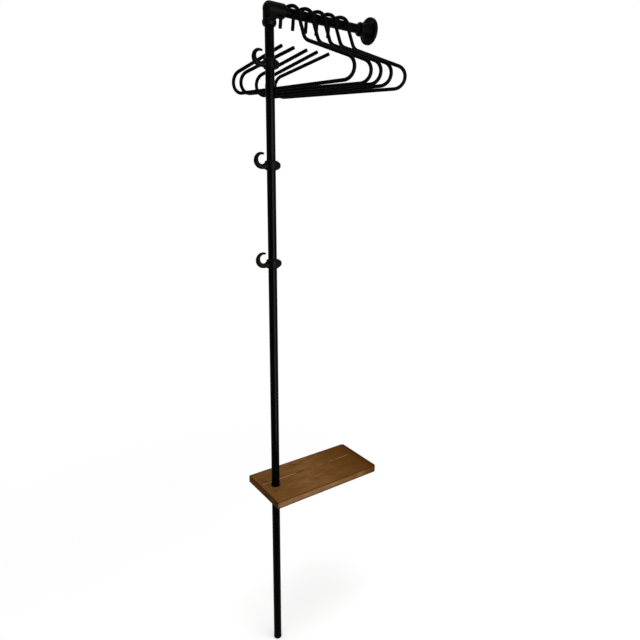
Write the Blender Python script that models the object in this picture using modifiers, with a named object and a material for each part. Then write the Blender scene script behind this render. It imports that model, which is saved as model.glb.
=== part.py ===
"""Wall coat rack: a pipe pole and rail with cast fittings, ring hooks, a shelf board and hangers.

The pole's foot stands on the floor at the origin. +Z is up, +Y points to the wall and +X is
to the right of someone who faces the wall. All sizes are in metres.
"""
import math

import bmesh
import bpy
from mathutils import Matrix, Vector

# Fits and facets
FIT_GAP = 0.0003
CUT_MARGIN = 0.004
ROUND_SIDES = 28
SMALL_SIDES = 16
ROD_BEVEL = 3

# Steel pipe of the pole and the rail
PIPE_OD = 0.0269
PIPE_WALL = 0.0026
RAIL_HEIGHT = 2.090
WALL_DISTANCE = 0.3665

# Plug in the pole's lower end
FOOT_RIM = 0.006
FOOT_OD = 0.0276
FOOT_EDGE = 0.0028
FOOT_PLUG = 0.018

# Cast elbow between the pole and the rail
ELBOW_ARM = 0.0445
ELBOW_OD = 0.0362
ELBOW_BEAD_OD = 0.0410
ELBOW_BEAD_LENGTH = 0.0125
ELBOW_LEVEL_ARM = 0.0470
ELBOW_LEVEL_OD = 0.0410
ELBOW_EDGE = 0.0024
ELBOW_BEND = 0.0360
ELBOW_SOCKET = 0.019

# Cast wall flange
FLANGE_OD = 0.0805
FLANGE_THICKNESS = 0.0095
FLANGE_EDGE = 0.0032
FLANGE_DEPTH = 0.0460
HUB_OD = 0.0412
HUB_EDGE = 0.0028
HUB_FILLET = 0.0045
RAIL_END_SPACE = 0.003
FLANGE_SCREW_CIRCLE = 0.062
FLANGE_SCREW_COUNT = 4

# Countersunk screws of the flange
CSK_HEAD = 0.0088
CSK_SHANK = 0.0044
CSK_HEAD_DEPTH = 0.0024
SOCKET_WIDTH = 0.0030
SOCKET_DEPTH = 0.0016

# Ring hooks on the pole
# How far each ring lies below the rail
HOOK_DROPS = {"upper": 0.1435, "middle": 0.4235, "lower": 0.7172}
RING_HEIGHT = 0.0280
RING_WALL = 0.0055
RING_EDGE = 0.0046
HOOK_STAND_OFF = 0.0122
HOOK_CURL_RADIUS = 0.0192
HOOK_CURL_RISE = 0.0148
HOOK_THICKNESS = 0.0150
HOOK_ROOT_THICKNESS = 0.0220
HOOK_TIP_THICKNESS = 0.0064
HOOK_TIP_ANGLE = 72.0
BOSS_OD = 0.0274
BOSS_END_OD = 0.0200
BOSS_REACH = 0.0094
BOSS_EDGE = 0.0040
SET_SCREW = 0.0080
SET_SCREW_RECESS = 0.0015
SET_SOCKET_WIDTH = 0.0040
SET_SOCKET_DEPTH = 0.0045

# Shelf board
SHELF_TOP = 0.6145
SHELF_THICKNESS = 0.0233
SHELF_WIDTH = 0.2027
SHELF_FRONT = 0.0484
SHELF_SIDE_SHIFT = -0.0040
SHELF_FRONT_CORNER = 0.0060
SHELF_WALL_CORNER = 0.0110
SHELF_EDGE = 0.0022
SHELF_HOLE_GAP = 0.0015

# Set collar that carries the board on the pole
COLLAR_WALL = 0.0070
COLLAR_HEIGHT = 0.0150
COLLAR_EDGE = 0.0010
COLLAR_SCREW = 0.0060
COLLAR_SOCKET_WIDTH = 0.0030
COLLAR_SOCKET_DEPTH = 0.0030

# Angle bracket under the wall end of the board
BRACKET_LEG = 0.0400
BRACKET_WIDTH = 0.0600
BRACKET_SHEET = 0.0030
BRACKET_BEND = 0.0030
BRACKET_HOLE_INSET = 0.0130
BRACKET_HOLE_SPACING = 0.0360
PAN_HEAD = 0.0080
PAN_HEAD_HEIGHT = 0.0026
PAN_SHANK = 0.0040
PAN_SHANK_LENGTH = 0.0180

# Bent-rod hangers
HANGER_ROD = 0.0106
HANGER_HOOK_RADIUS = 0.0325
HANGER_TIP_LENGTH = 0.0172
HANGER_TIP_SPLAY = 6.7
HANGER_NECK_FOOT = 0.0504
HANGER_NECK_BEND = 0.0290
HANGER_RIGHT = 0.2105
HANGER_LEFT = 0.2190
HANGER_DROP = 0.1840
HANGER_END_BEND = 0.0330
HANGER_RIGHT_SLOPE = 22.9
HANGER_LEFT_SLOPE = 17.5
HANGER_FREE_END = 0.0340
# Where each hook sits along the rail, and how far out its left end has turned, both along Y
HANGER_HOOK_PLACES = (0.0680, 0.1130, 0.1570, 0.1955, 0.2412)
HANGER_END_PLACES = (-0.0200, -0.0010, 0.0580, 0.0950, 0.1188)

# Sizes that follow from the ones above
PIPE_RADIUS = PIPE_OD / 2
PIPE_BORE = PIPE_RADIUS - PIPE_WALL
PIPE_SEAT = PIPE_RADIUS + FIT_GAP
RING_RADIUS = PIPE_SEAT + RING_WALL
COLLAR_RADIUS = PIPE_SEAT + COLLAR_WALL
SHELF_BOTTOM = SHELF_TOP - SHELF_THICKNESS
SHELF_LENGTH = SHELF_FRONT + WALL_DISTANCE
SHELF_CENTRE_Y = (WALL_DISTANCE - SHELF_FRONT) / 2
BRACKET_TOP = SHELF_BOTTOM - FIT_GAP
ALONG_Y = (math.pi / 2, 0.0, 0.0)
ALONG_MINUS_Y = (-math.pi / 2, 0.0, 0.0)


def clear_scene():
    """Remove whatever objects the open file holds."""
    for obj in list(bpy.data.objects):
        bpy.data.objects.remove(obj)


def new_collection(name):
    """Add a collection to the scene."""
    collection = bpy.data.collections.new(name)
    bpy.context.scene.collection.children.link(collection)
    return collection


def new_material(name, colour, roughness, metallic):
    """Make a Principled material of one colour."""
    material = bpy.data.materials.new(name)
    material.use_nodes = True
    shader = material.node_tree.nodes["Principled BSDF"]
    shader.inputs["Base Color"].default_value = (*colour, 1.0)
    shader.inputs["Roughness"].default_value = roughness
    shader.inputs["Metallic"].default_value = metallic
    return material


clear_scene()
parts = new_collection("wall_coat_rack")
cutters = new_collection("cutters")
pipe_paint = new_material("black_pipe_paint", (0.012, 0.012, 0.013), 0.45, 0.0)
cast_paint = new_material("black_cast_paint", (0.014, 0.014, 0.014), 0.60, 0.0)
rod_paint = new_material("black_rod_paint", (0.012, 0.012, 0.013), 0.45, 0.0)
cap_plastic = new_material("black_cap_plastic", (0.010, 0.010, 0.010), 0.55, 0.0)
screw_steel = new_material("blackened_screw_steel", (0.030, 0.030, 0.032), 0.40, 1.0)
stained_wood = new_material("stained_wood", (0.165, 0.075, 0.022), 0.50, 0.0)


def add_object(name, data, collection):
    """Put new data in a collection as an object."""
    obj = bpy.data.objects.new(name, data)
    collection.objects.link(obj)
    if collection is cutters:
        obj.hide_render = True
        obj.display_type = "WIRE"
    return obj


def arc_points(centre, radius, start, stop, steps):
    """Points along an arc from one angle to another, in degrees, as (across, up) pairs."""
    points = []
    for step in range(steps + 1):
        angle = math.radians(start + (stop - start) * step / steps)
        points.append((centre[0] + radius * math.cos(angle), centre[1] + radius * math.sin(angle)))
    return points


def turned(name, profile, collection, closed=False, sides=ROUND_SIDES):
    """Turn a profile of (radius, height) points round Z; it runs down the outer side."""
    mesh = bpy.data.meshes.new(name)
    edges = [(index, index + 1) for index in range(len(profile) - 1)]
    if closed:
        edges.append((len(profile) - 1, 0))
    mesh.from_pydata([(radius, 0.0, height) for radius, height in profile], edges, [])
    obj = add_object(name, mesh, collection)
    screw = obj.modifiers.new("Turn", "SCREW")
    screw.axis = "Z"
    screw.steps = sides
    screw.render_steps = sides
    screw.use_merge_vertices = True
    screw.merge_threshold = 0.00001
    return obj


def swept(name, points, radii, collection, bevel=ROD_BEVEL):
    """Sweep a round section along 3D points, with its own radius at each point."""
    curve = bpy.data.curves.new(name, "CURVE")
    curve.dimensions = "3D"
    curve.bevel_depth = max(radii)
    curve.bevel_resolution = bevel
    curve.use_fill_caps = True
    spline = curve.splines.new("POLY")
    spline.points.add(len(points) - 1)
    for point, place, radius in zip(spline.points, points, radii):
        point.co = (*place, 1.0)
        point.radius = radius / curve.bevel_depth
    return curve_to_mesh(add_object(name, curve, collection), collection)


def outline_plate(name, outlines, thickness, edge, collection):
    """Extrude closed flat outlines, the first with the others as holes, with rounded edges."""
    curve = bpy.data.curves.new(name, "CURVE")
    curve.dimensions = "2D"
    curve.fill_mode = "BOTH"
    curve.extrude = thickness / 2 - edge
    curve.bevel_depth = edge
    curve.bevel_resolution = 1
    curve.offset = -edge
    for outline in outlines:
        spline = curve.splines.new("POLY")
        spline.points.add(len(outline) - 1)
        spline.use_cyclic_u = True
        for point, place in zip(spline.points, outline):
            point.co = (*place, 0.0, 1.0)
    return curve_to_mesh(add_object(name, curve, collection), collection)


def merge_points(mesh):
    """Join points that lie on each other, so that the mesh is closed."""
    shape = bmesh.new()
    shape.from_mesh(mesh)
    bmesh.ops.remove_doubles(shape, verts=shape.verts, dist=0.000005)
    bmesh.ops.dissolve_degenerate(shape, edges=shape.edges, dist=0.000001)
    shape.to_mesh(mesh)
    shape.free()


def curve_to_mesh(curve_object, collection):
    """Swap a curve for a closed mesh object of the same name and place."""
    bpy.context.view_layer.update()
    depsgraph = bpy.context.evaluated_depsgraph_get()
    mesh = bpy.data.meshes.new_from_object(curve_object.evaluated_get(depsgraph))
    name = curve_object.name
    bpy.data.objects.remove(curve_object)
    merge_points(mesh)
    shape = bmesh.new()
    shape.from_mesh(mesh)
    bmesh.ops.recalc_face_normals(shape, faces=shape.faces)
    shape.to_mesh(mesh)
    shape.free()
    mesh.materials.clear()
    return add_object(name, mesh, collection)


def place(obj, location=(0.0, 0.0, 0.0), rotation=(0.0, 0.0, 0.0), parent=None):
    """Set an object's place, in its parent's frame if it has one."""
    obj.parent = parent
    obj.location = location
    obj.rotation_euler = rotation
    return obj


def combine(obj, operation, others):
    """Join or cut an object with other objects, one Boolean for each."""
    for other in others:
        boolean = obj.modifiers.new(other.name, "BOOLEAN")
        boolean.operation = operation
        boolean.solver = "EXACT"
        boolean.object = other
    return obj


def finish(obj, material):
    """Make an object a plain mesh, smooth apart from its real edges, with its material."""
    bpy.context.view_layer.update()
    depsgraph = bpy.context.evaluated_depsgraph_get()
    mesh = bpy.data.meshes.new_from_object(obj.evaluated_get(depsgraph))
    merge_points(mesh)
    obj.modifiers.clear()
    obj.data = mesh
    mesh.name = obj.name
    mesh.materials.clear()
    mesh.materials.append(material)
    mesh.shade_smooth()
    mesh.set_sharp_from_angle(angle=math.radians(35.0))
    return obj


def hexagon_cutter(name, width, depth):
    """A hexagon prism that reaches down from its own origin, for a hexagon socket."""
    shape = bmesh.new()
    corner = width / 2 / math.cos(math.pi / 6)
    bmesh.ops.create_cone(shape, cap_ends=True, segments=6, radius1=corner, radius2=corner,
                          depth=depth + CUT_MARGIN)
    bmesh.ops.translate(shape, verts=shape.verts, vec=(0.0, 0.0, (CUT_MARGIN - depth) / 2))
    mesh = bpy.data.meshes.new(name)
    shape.to_mesh(mesh)
    shape.free()
    return add_object(name, mesh, cutters)


def round_cutter(name, diameter, low, high, sides=SMALL_SIDES):
    """A cylinder along Z between two heights, for a plain hole."""
    radius = diameter / 2
    return turned(name, [(0.0, high), (radius, high), (radius, low), (0.0, low)], cutters,
                  sides=sides)


def socket_screw(name, profile, socket_width, socket_depth, top):
    """A turned screw with a hexagon socket in its end at the given height."""
    screw = turned(name, profile, parts, sides=SMALL_SIDES)
    socket = hexagon_cutter(name + "_socket", socket_width, socket_depth)
    place(socket, (0.0, 0.0, top), parent=screw)
    combine(screw, "DIFFERENCE", [socket])
    return screw


def pipe(name, low, high):
    """A length of the rack's steel pipe along Z."""
    profile = [(PIPE_RADIUS, high), (PIPE_RADIUS, low), (PIPE_BORE, low), (PIPE_BORE, high)]
    return turned(name, profile, parts, closed=True)


def build_pole():
    """The pole, from its foot plug up into the elbow's lower socket."""
    low = FOOT_RIM + FIT_GAP
    high = RAIL_HEIGHT - ELBOW_ARM + ELBOW_SOCKET
    finish(pipe("pole", low, high), pipe_paint)


def build_foot_cap():
    """The plug in the pole's lower end, with a rounded rim that stands on the floor."""
    plug_radius = PIPE_BORE - FIT_GAP
    rim_radius = FOOT_OD / 2
    profile = [(0.0, FOOT_RIM + FOOT_PLUG), (plug_radius, FOOT_RIM + FOOT_PLUG),
               (plug_radius, FOOT_RIM), (rim_radius, FOOT_RIM)]
    profile += arc_points((rim_radius - FOOT_EDGE, FOOT_EDGE), FOOT_EDGE, 0.0, -90.0, 3)
    profile.append((0.0, 0.0))
    finish(turned("pole_foot_cap", profile, parts), cap_plastic)


def bead_profile(end_height):
    """The rounded bead at an elbow arm's end, from its upper side down to the end face."""
    bead = ELBOW_BEAD_OD / 2
    body = ELBOW_OD / 2
    height = ELBOW_BEAD_LENGTH
    return [(body, end_height + height),
            (body + (bead - body) * 0.75, end_height + height * 0.80),
            (bead, end_height + height * 0.58),
            (bead, end_height + height * 0.36),
            (bead - (bead - body) * 0.35, end_height + height * 0.12),
            (body, end_height)]


def level_arm_profile():
    """The elbow's plain level arm along Z, from its domed outer end down to its rounded mouth."""
    arm = ELBOW_LEVEL_OD / 2
    dome = ELBOW_OD / 2 - FIT_GAP
    profile = [(arm * across, dome * up) for across, up in arc_points((0.0, 0.0), 1.0, 90.0, 0.0, 6)]
    mouth = -ELBOW_LEVEL_ARM
    profile += arc_points((arm - ELBOW_EDGE, mouth + ELBOW_EDGE), ELBOW_EDGE, 0.0, -90.0, 3)
    return profile + [(0.0, mouth)]


def socket_profile(inner, arm):
    """The lower part of a pipe bore, from its shoulder to past the mouth of an arm."""
    shoulder = -arm + ELBOW_SOCKET + FIT_GAP
    mouth = -arm - CUT_MARGIN
    return [(inner, shoulder), (PIPE_SEAT, shoulder), (PIPE_SEAT, mouth), (0.0, mouth)]


def elbow_bend():
    """Centreline of the elbow's bend, which fills the inside of its corner."""
    bend = arc_points((ELBOW_BEND, -ELBOW_BEND), ELBOW_BEND, 180.0, 90.0, 6)
    return [(0.0, along, up) for along, up in bend]


def build_elbow():
    """The cast elbow: a beaded arm and a plain arm that meet in a bend, bored for both pipes."""
    body = ELBOW_OD / 2
    ball = arc_points((0.0, 0.0), body, 90.0, 0.0, 6)
    upright = ball + bead_profile(-ELBOW_ARM) + [(0.0, -ELBOW_ARM)]
    elbow = place(turned("elbow", upright, parts), (0.0, 0.0, RAIL_HEIGHT))
    arm = place(turned("elbow_arm", level_arm_profile(), cutters), (0.0, 0.0, RAIL_HEIGHT), ALONG_Y)
    centreline = elbow_bend()
    corner = swept("elbow_bend", centreline, [body - FIT_GAP] * len(centreline), cutters, 6)
    place(corner, (0.0, 0.0, RAIL_HEIGHT))
    round_end = arc_points((0.0, 0.0), PIPE_BORE, 90.0, 0.0, 4)
    pole_bore = turned("elbow_pole_bore", round_end + socket_profile(PIPE_BORE, ELBOW_ARM), cutters)
    place(pole_bore, (0.0, 0.0, RAIL_HEIGHT))
    inner = PIPE_BORE - FIT_GAP
    flat_end = [(0.0, 0.0), (inner, 0.0)]
    rail_bore = turned("elbow_rail_bore", flat_end + socket_profile(inner, ELBOW_LEVEL_ARM), cutters)
    place(rail_bore, (0.0, 0.0, RAIL_HEIGHT), ALONG_Y)
    combine(elbow, "UNION", [arm, corner])
    combine(elbow, "DIFFERENCE", [pole_bore, rail_bore])
    finish(elbow, cast_paint)


def build_rail():
    """The rail, from the elbow's side socket into the flange's hub."""
    near = ELBOW_LEVEL_ARM - ELBOW_SOCKET
    far = WALL_DISTANCE - RAIL_END_SPACE
    rail = place(pipe("rail", near, far), (0.0, 0.0, RAIL_HEIGHT), ALONG_MINUS_Y)
    finish(rail, pipe_paint)


def flange_screw_places():
    """Places of the flange screws on their circle, in the flange's own plane."""
    for index in range(FLANGE_SCREW_COUNT):
        angle = 2 * math.pi * (index + 0.5) / FLANGE_SCREW_COUNT
        radius = FLANGE_SCREW_CIRCLE / 2
        yield radius * math.cos(angle), radius * math.sin(angle)


def countersunk_profile(head, shank, top, bottom):
    """A countersunk screw, or its hole, from the flush face down to its lower end."""
    cone = top - CSK_HEAD_DEPTH
    return [(0.0, top), (head / 2, top), (shank / 2, cone), (shank / 2, bottom), (0.0, bottom)]


def build_flange():
    """The cast flange, with its back on the wall, and the screws through it."""
    hub = HUB_OD / 2
    rim = FLANGE_OD / 2
    face = FLANGE_THICKNESS
    profile = arc_points((hub - HUB_EDGE, FLANGE_DEPTH - HUB_EDGE), HUB_EDGE, 90.0, 0.0, 3)
    profile += arc_points((hub + HUB_FILLET, face + HUB_FILLET), HUB_FILLET, 180.0, 270.0, 2)
    profile += arc_points((rim - FLANGE_EDGE, face - FLANGE_EDGE), FLANGE_EDGE, 90.0, 0.0, 2)
    profile += [(rim, 0.0), (PIPE_SEAT, 0.0), (PIPE_SEAT, FLANGE_DEPTH)]
    flange = turned("wall_flange", profile, parts, closed=True)
    place(flange, (0.0, WALL_DISTANCE, RAIL_HEIGHT), ALONG_Y)
    holes = []
    for index, (across, up) in enumerate(flange_screw_places(), start=1):
        hole = countersunk_profile(CSK_HEAD + 2 * FIT_GAP, CSK_SHANK + 2 * FIT_GAP, face - FIT_GAP,
                                   -CUT_MARGIN)
        hole[0] = (0.0, face + CUT_MARGIN)
        hole.insert(1, (CSK_HEAD / 2 + FIT_GAP, face + CUT_MARGIN))
        cutter = turned(f"flange_hole_{index}", hole, cutters, sides=SMALL_SIDES)
        holes.append(place(cutter, (across, up, 0.0), parent=flange))
        screw_profile = countersunk_profile(CSK_HEAD, CSK_SHANK, face - FIT_GAP, FIT_GAP)
        screw = socket_screw(f"flange_screw_{index}", screw_profile, SOCKET_WIDTH, SOCKET_DEPTH,
                             face - FIT_GAP)
        place(screw, (across, up, 0.0), parent=flange)
        finish(screw, screw_steel)
    combine(flange, "DIFFERENCE", holes)
    finish(flange, cast_paint)


def hook_sweep():
    """The hook's centreline away from the wall, as (y, z) points, with a radius at each."""
    body = HOOK_THICKNESS / 2
    root = HOOK_ROOT_THICKNESS / 2
    tip = HOOK_TIP_THICKNESS / 2
    centre = (-(RING_RADIUS + HOOK_STAND_OFF), HOOK_CURL_RISE)
    start_y = -(PIPE_SEAT + RING_WALL * 0.3)
    floor_at_ring = root - RING_HEIGHT / 2 + RING_EDGE / 2
    floor_at_curl = centre[1] - HOOK_CURL_RADIUS
    points = []
    radii = []
    flare_steps = 3
    for step in range(flare_steps):
        share = step / flare_steps
        radius = body + (root - body) * (1 - share) ** 2
        level = floor_at_ring - root + (floor_at_curl - body - floor_at_ring + root) * share
        points.append((start_y + (centre[0] - start_y) * share, level + radius))
        radii.append(radius)
    last = HOOK_TIP_ANGLE - 360.0
    curl_steps = 14
    curl = arc_points(centre, HOOK_CURL_RADIUS, -90.0, last, curl_steps)
    for step, point in enumerate(curl):
        taper = max(0.0, (step / curl_steps - 0.36) / 0.64)
        points.append(point)
        radii.append(body + (tip - body) * taper)
    for bead, share in ((0.6, 0.8), (0.95, 0.4)):
        turn = last - math.degrees(tip * bead / HOOK_CURL_RADIUS)
        points += arc_points(centre, HOOK_CURL_RADIUS, turn, turn, 1)[:1]
        radii.append(tip * share)
    return points, radii


def boss_profile():
    """The boss on the ring's wall side, along Z from its domed end back into the ring."""
    end = RING_RADIUS + BOSS_REACH
    foot = BOSS_OD / 2
    nose = BOSS_END_OD / 2
    profile = [(0.0, end)]
    profile += arc_points((nose - BOSS_EDGE, end - BOSS_EDGE), BOSS_EDGE, 90.0, 20.0, 3)
    return profile + [(foot, RING_RADIUS), (foot, PIPE_SEAT / 2), (0.0, PIPE_SEAT / 2)]


def build_hook(level, height):
    """A cast ring hook and the set screw that clamps it on the pole."""
    name = f"hook_{level}"
    half = RING_HEIGHT / 2
    outer = RING_RADIUS
    inner = PIPE_SEAT / 2
    ring = arc_points((outer - RING_EDGE, half - RING_EDGE), RING_EDGE, 90.0, 0.0, 2)
    ring += arc_points((outer - RING_EDGE, RING_EDGE - half), RING_EDGE, 0.0, -90.0, 2)
    ring += [(inner, -half), (inner, half)]
    hook = place(turned(name, ring, parts, closed=True), (0.0, 0.0, height))
    path, radii = hook_sweep()
    curl = swept(name + "_curl", [(0.0, y, z) for y, z in path], radii, cutters)
    place(curl, parent=hook)
    boss = place(turned(name + "_boss", boss_profile(), cutters), rotation=ALONG_MINUS_Y, parent=hook)
    bore = round_cutter(name + "_bore", 2 * PIPE_SEAT, -RING_HEIGHT, RING_HEIGHT, ROUND_SIDES)
    place(bore, parent=hook)
    end = RING_RADIUS + BOSS_REACH
    screw_hole = round_cutter(name + "_screw_hole", SET_SCREW + 2 * FIT_GAP, 0.0, end + CUT_MARGIN)
    place(screw_hole, rotation=ALONG_MINUS_Y, parent=hook)
    top = end - SET_SCREW_RECESS
    radius = SET_SCREW / 2
    profile = [(0.0, top), (radius, top), (radius, PIPE_SEAT), (0.0, PIPE_SEAT)]
    screw = socket_screw(name + "_set_screw", profile, SET_SOCKET_WIDTH, SET_SOCKET_DEPTH, top)
    place(screw, rotation=ALONG_MINUS_Y, parent=hook)
    finish(screw, screw_steel)
    combine(hook, "UNION", [curl, boss])
    combine(hook, "DIFFERENCE", [bore, screw_hole])
    finish(hook, cast_paint)


def rounded_rectangle(width, length, far_corner, near_corner, steps):
    """Outline of a rectangle about its own centre, with its own corner radius at each end."""
    outline = []
    for across, along, start in ((1, 1, 0), (-1, 1, 90), (-1, -1, 180), (1, -1, 270)):
        corner = far_corner if along > 0 else near_corner
        centre = (across * (width / 2 - corner), along * (length / 2 - corner))
        outline += arc_points(centre, corner, start, start + 90, steps)
    return outline


def bracket_hole_places():
    """The bracket's hole places across X, about the board's middle."""
    return (SHELF_SIDE_SHIFT - BRACKET_HOLE_SPACING / 2, SHELF_SIDE_SHIFT + BRACKET_HOLE_SPACING / 2)


def build_shelf_board():
    """The board, with its hole round the pole and pilot holes for the bracket's screws."""
    outline = rounded_rectangle(SHELF_WIDTH, SHELF_LENGTH, SHELF_WALL_CORNER, SHELF_FRONT_CORNER, 3)
    middle = (SHELF_SIDE_SHIFT, SHELF_CENTRE_Y)
    outline = [(x + middle[0], y + middle[1]) for x, y in outline]
    hole = arc_points((0.0, 0.0), PIPE_RADIUS + SHELF_HOLE_GAP, 360.0, 0.0, ROUND_SIDES)[:-1]
    board = outline_plate("shelf_board", [outline, hole], SHELF_THICKNESS, SHELF_EDGE, parts)
    place(board, (0.0, 0.0, SHELF_TOP - SHELF_THICKNESS / 2))
    pilots = []
    depth = PAN_SHANK_LENGTH - BRACKET_SHEET
    for index, across in enumerate(bracket_hole_places(), start=1):
        pilot = round_cutter(f"shelf_pilot_{index}", PAN_SHANK + 2 * FIT_GAP, -CUT_MARGIN, depth + FIT_GAP)
        pilots.append(place(pilot, (across, WALL_DISTANCE - BRACKET_LEG + BRACKET_HOLE_INSET, SHELF_BOTTOM)))
    combine(board, "DIFFERENCE", pilots)
    finish(board, stained_wood)


def build_shelf_collar():
    """The set collar under the board, and its set screw."""
    top = SHELF_BOTTOM - FIT_GAP
    half = COLLAR_HEIGHT / 2
    outer = COLLAR_RADIUS
    profile = [(outer - COLLAR_EDGE, half), (outer, half - COLLAR_EDGE), (outer, COLLAR_EDGE - half),
               (outer - COLLAR_EDGE, -half), (PIPE_SEAT, -half), (PIPE_SEAT, half)]
    collar = place(turned("shelf_collar", profile, parts, closed=True), (0.0, 0.0, top - half))
    hole = round_cutter("collar_hole", COLLAR_SCREW + 2 * FIT_GAP, PIPE_RADIUS / 2, outer + CUT_MARGIN)
    place(hole, rotation=ALONG_MINUS_Y, parent=collar)
    combine(collar, "DIFFERENCE", [hole])
    radius = COLLAR_SCREW / 2
    head = outer - COLLAR_EDGE
    screw_profile = [(0.0, head), (radius, head), (radius, PIPE_SEAT), (0.0, PIPE_SEAT)]
    screw = socket_screw("shelf_collar_screw", screw_profile, COLLAR_SOCKET_WIDTH, COLLAR_SOCKET_DEPTH, head)
    place(screw, rotation=ALONG_MINUS_Y, parent=collar)
    finish(screw, screw_steel)
    finish(collar, cast_paint)


def bracket_outline():
    """The angle's section: x runs out from the wall, y runs down from the board."""
    inside = BRACKET_SHEET + BRACKET_BEND
    outline = [(BRACKET_LEG, 0.0), (BRACKET_LEG, -BRACKET_SHEET)]
    outline += arc_points((inside, -inside), BRACKET_BEND, 90.0, 180.0, 4)
    outline += [(BRACKET_SHEET, -BRACKET_LEG), (0.0, -BRACKET_LEG)]
    outline += arc_points((inside, -inside), inside, 180.0, 90.0, 5)
    return outline


def pan_screw(name, length):
    """A screw with a low round head, its shank along +Z from the head's seat at the origin."""
    head = PAN_HEAD / 2
    shank = PAN_SHANK / 2
    low = -PAN_HEAD_HEIGHT
    profile = [(0.0, length), (shank, length), (shank, 0.0), (head, 0.0), (head, low * 0.55),
               (head * 0.65, low), (0.0, low)]
    screw = turned(name, profile, parts, sides=SMALL_SIDES)
    socket = hexagon_cutter(name + "_socket", SOCKET_WIDTH, SOCKET_DEPTH)
    place(socket, (0.0, 0.0, low), (math.pi, 0.0, 0.0), parent=screw)
    return combine(screw, "DIFFERENCE", [socket])


def split_in_middle(obj):
    """Divide an object's faces at its own middle plane, so that each half takes its own holes."""
    shape = bmesh.new()
    shape.from_mesh(obj.data)
    geometry = shape.verts[:] + shape.edges[:] + shape.faces[:]
    bmesh.ops.bisect_plane(shape, geom=geometry, plane_co=(0.0, 0.0, 0.0), plane_no=(0.0, 0.0, 1.0))
    shape.to_mesh(obj.data)
    shape.free()


def build_shelf_bracket():
    """The angle bracket that ties the board's end to the wall, with its four screws."""
    bracket = outline_plate("shelf_bracket", [bracket_outline()], BRACKET_WIDTH, FIT_GAP, parts)
    split_in_middle(bracket)
    turn = Matrix.Rotation(math.radians(-90.0), 4, "Z") @ Matrix.Rotation(math.radians(90.0), 4, "X")
    bracket.rotation_euler = turn.to_euler()
    bracket.location = (SHELF_SIDE_SHIFT, WALL_DISTANCE, BRACKET_TOP)
    inset = BRACKET_LEG - BRACKET_HOLE_INSET
    seat = FIT_GAP + BRACKET_SHEET
    holes = []
    for index, across in enumerate(bracket_hole_places(), start=1):
        clearance = PAN_SHANK + 2 * FIT_GAP
        up = round_cutter(f"bracket_board_hole_{index}", clearance, -BRACKET_SHEET * 2, BRACKET_SHEET)
        holes.append(place(up, (across, WALL_DISTANCE - inset, BRACKET_TOP)))
        back = round_cutter(f"bracket_wall_hole_{index}", clearance, -BRACKET_SHEET * 2, BRACKET_SHEET)
        holes.append(place(back, (across, WALL_DISTANCE, BRACKET_TOP - inset), ALONG_MINUS_Y))
        board_screw = pan_screw(f"bracket_board_screw_{index}", PAN_SHANK_LENGTH)
        place(board_screw, (across, WALL_DISTANCE - inset, BRACKET_TOP - seat))
        finish(board_screw, screw_steel)
        wall_screw = pan_screw(f"bracket_wall_screw_{index}", BRACKET_SHEET)
        place(wall_screw, (across, WALL_DISTANCE - seat, BRACKET_TOP - inset), ALONG_MINUS_Y)
        finish(wall_screw, screw_steel)
    combine(bracket, "DIFFERENCE", holes)
    finish(bracket, pipe_paint)


def rounded_corner(before, corner, after, radius, steps):
    """Points of the arc that rounds a corner between two straight stretches."""
    corner = Vector(corner)
    back = (Vector(before) - corner).normalized()
    ahead = (Vector(after) - corner).normalized()
    half = back.angle(ahead) / 2
    middle = corner + (back + ahead).normalized() * radius / math.sin(half)
    first = corner + back * radius / math.tan(half) - middle
    turn = math.copysign(math.pi - 2 * half, back.x * ahead.y - back.y * ahead.x) * -1
    points = []
    for step in range(steps + 1):
        spun = Matrix.Rotation(turn * step / steps, 2) @ first
        points.append(tuple(middle + spun))
    return points


def hanger_path():
    """Centreline of a hanger in its own plane, from the hook's tip to the free shoulder end."""
    hook = HANGER_HOOK_RADIUS
    splay = math.radians(HANGER_TIP_SPLAY)
    tip = (-hook - HANGER_TIP_LENGTH * math.sin(splay), -HANGER_TIP_LENGTH * math.cos(splay))
    bar = -HANGER_DROP
    bend = HANGER_END_BEND
    right_centre = (HANGER_RIGHT - bend, bar + bend)
    left_centre = (bend - HANGER_LEFT, bar + bend)
    right_top = arc_points(right_centre, bend, 90.0 - HANGER_RIGHT_SLOPE, -90.0, 9)
    left_top = arc_points(left_centre, bend, 270.0, 90.0 + HANGER_LEFT_SLOPE, 9)
    fall = math.tan(math.radians(HANGER_RIGHT_SLOPE))
    neck_foot = (HANGER_NECK_FOOT, right_top[0][1] + (right_top[0][0] - HANGER_NECK_FOOT) * fall)
    rise = math.tan(math.radians(HANGER_LEFT_SLOPE))
    free_end = (-HANGER_FREE_END, left_top[-1][1] + (-HANGER_FREE_END - left_top[-1][0]) * rise)
    path = [tip] + arc_points((0.0, 0.0), hook, 180.0, 0.0, 10)
    path += rounded_corner((hook, 0.0), neck_foot, right_top[0], HANGER_NECK_BEND, 4)
    return path + right_top + left_top + [free_end]


def hanging_tilt(path):
    """The angle at which a rod hangs with its centre of mass under its hook."""
    moment_across = 0.0
    moment_down = 0.0
    for start, stop in zip(path, path[1:]):
        length = math.dist(start, stop)
        moment_across += length * (start[0] + stop[0]) / 2
        moment_down -= length * (start[1] + stop[1]) / 2
    return math.atan2(moment_across, moment_down)


def rounded_rod(path, radius):
    """A rod's points and radii, with both of its ends rounded over."""
    points = [Vector(point) for point in path]
    radii = [radius] * len(points)
    for ahead, behind in ((0, 1), (-1, -2)):
        out = (points[ahead] - points[behind]).normalized()
        tail = [points[ahead] + out * radius * reach for reach in (0.55, 0.92)]
        widths = [radius * share for share in (0.84, 0.40)]
        if ahead == 0:
            points = tail[::-1] + points
            radii = widths[::-1] + radii
        else:
            points += tail
            radii += widths
    return points, radii


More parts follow.
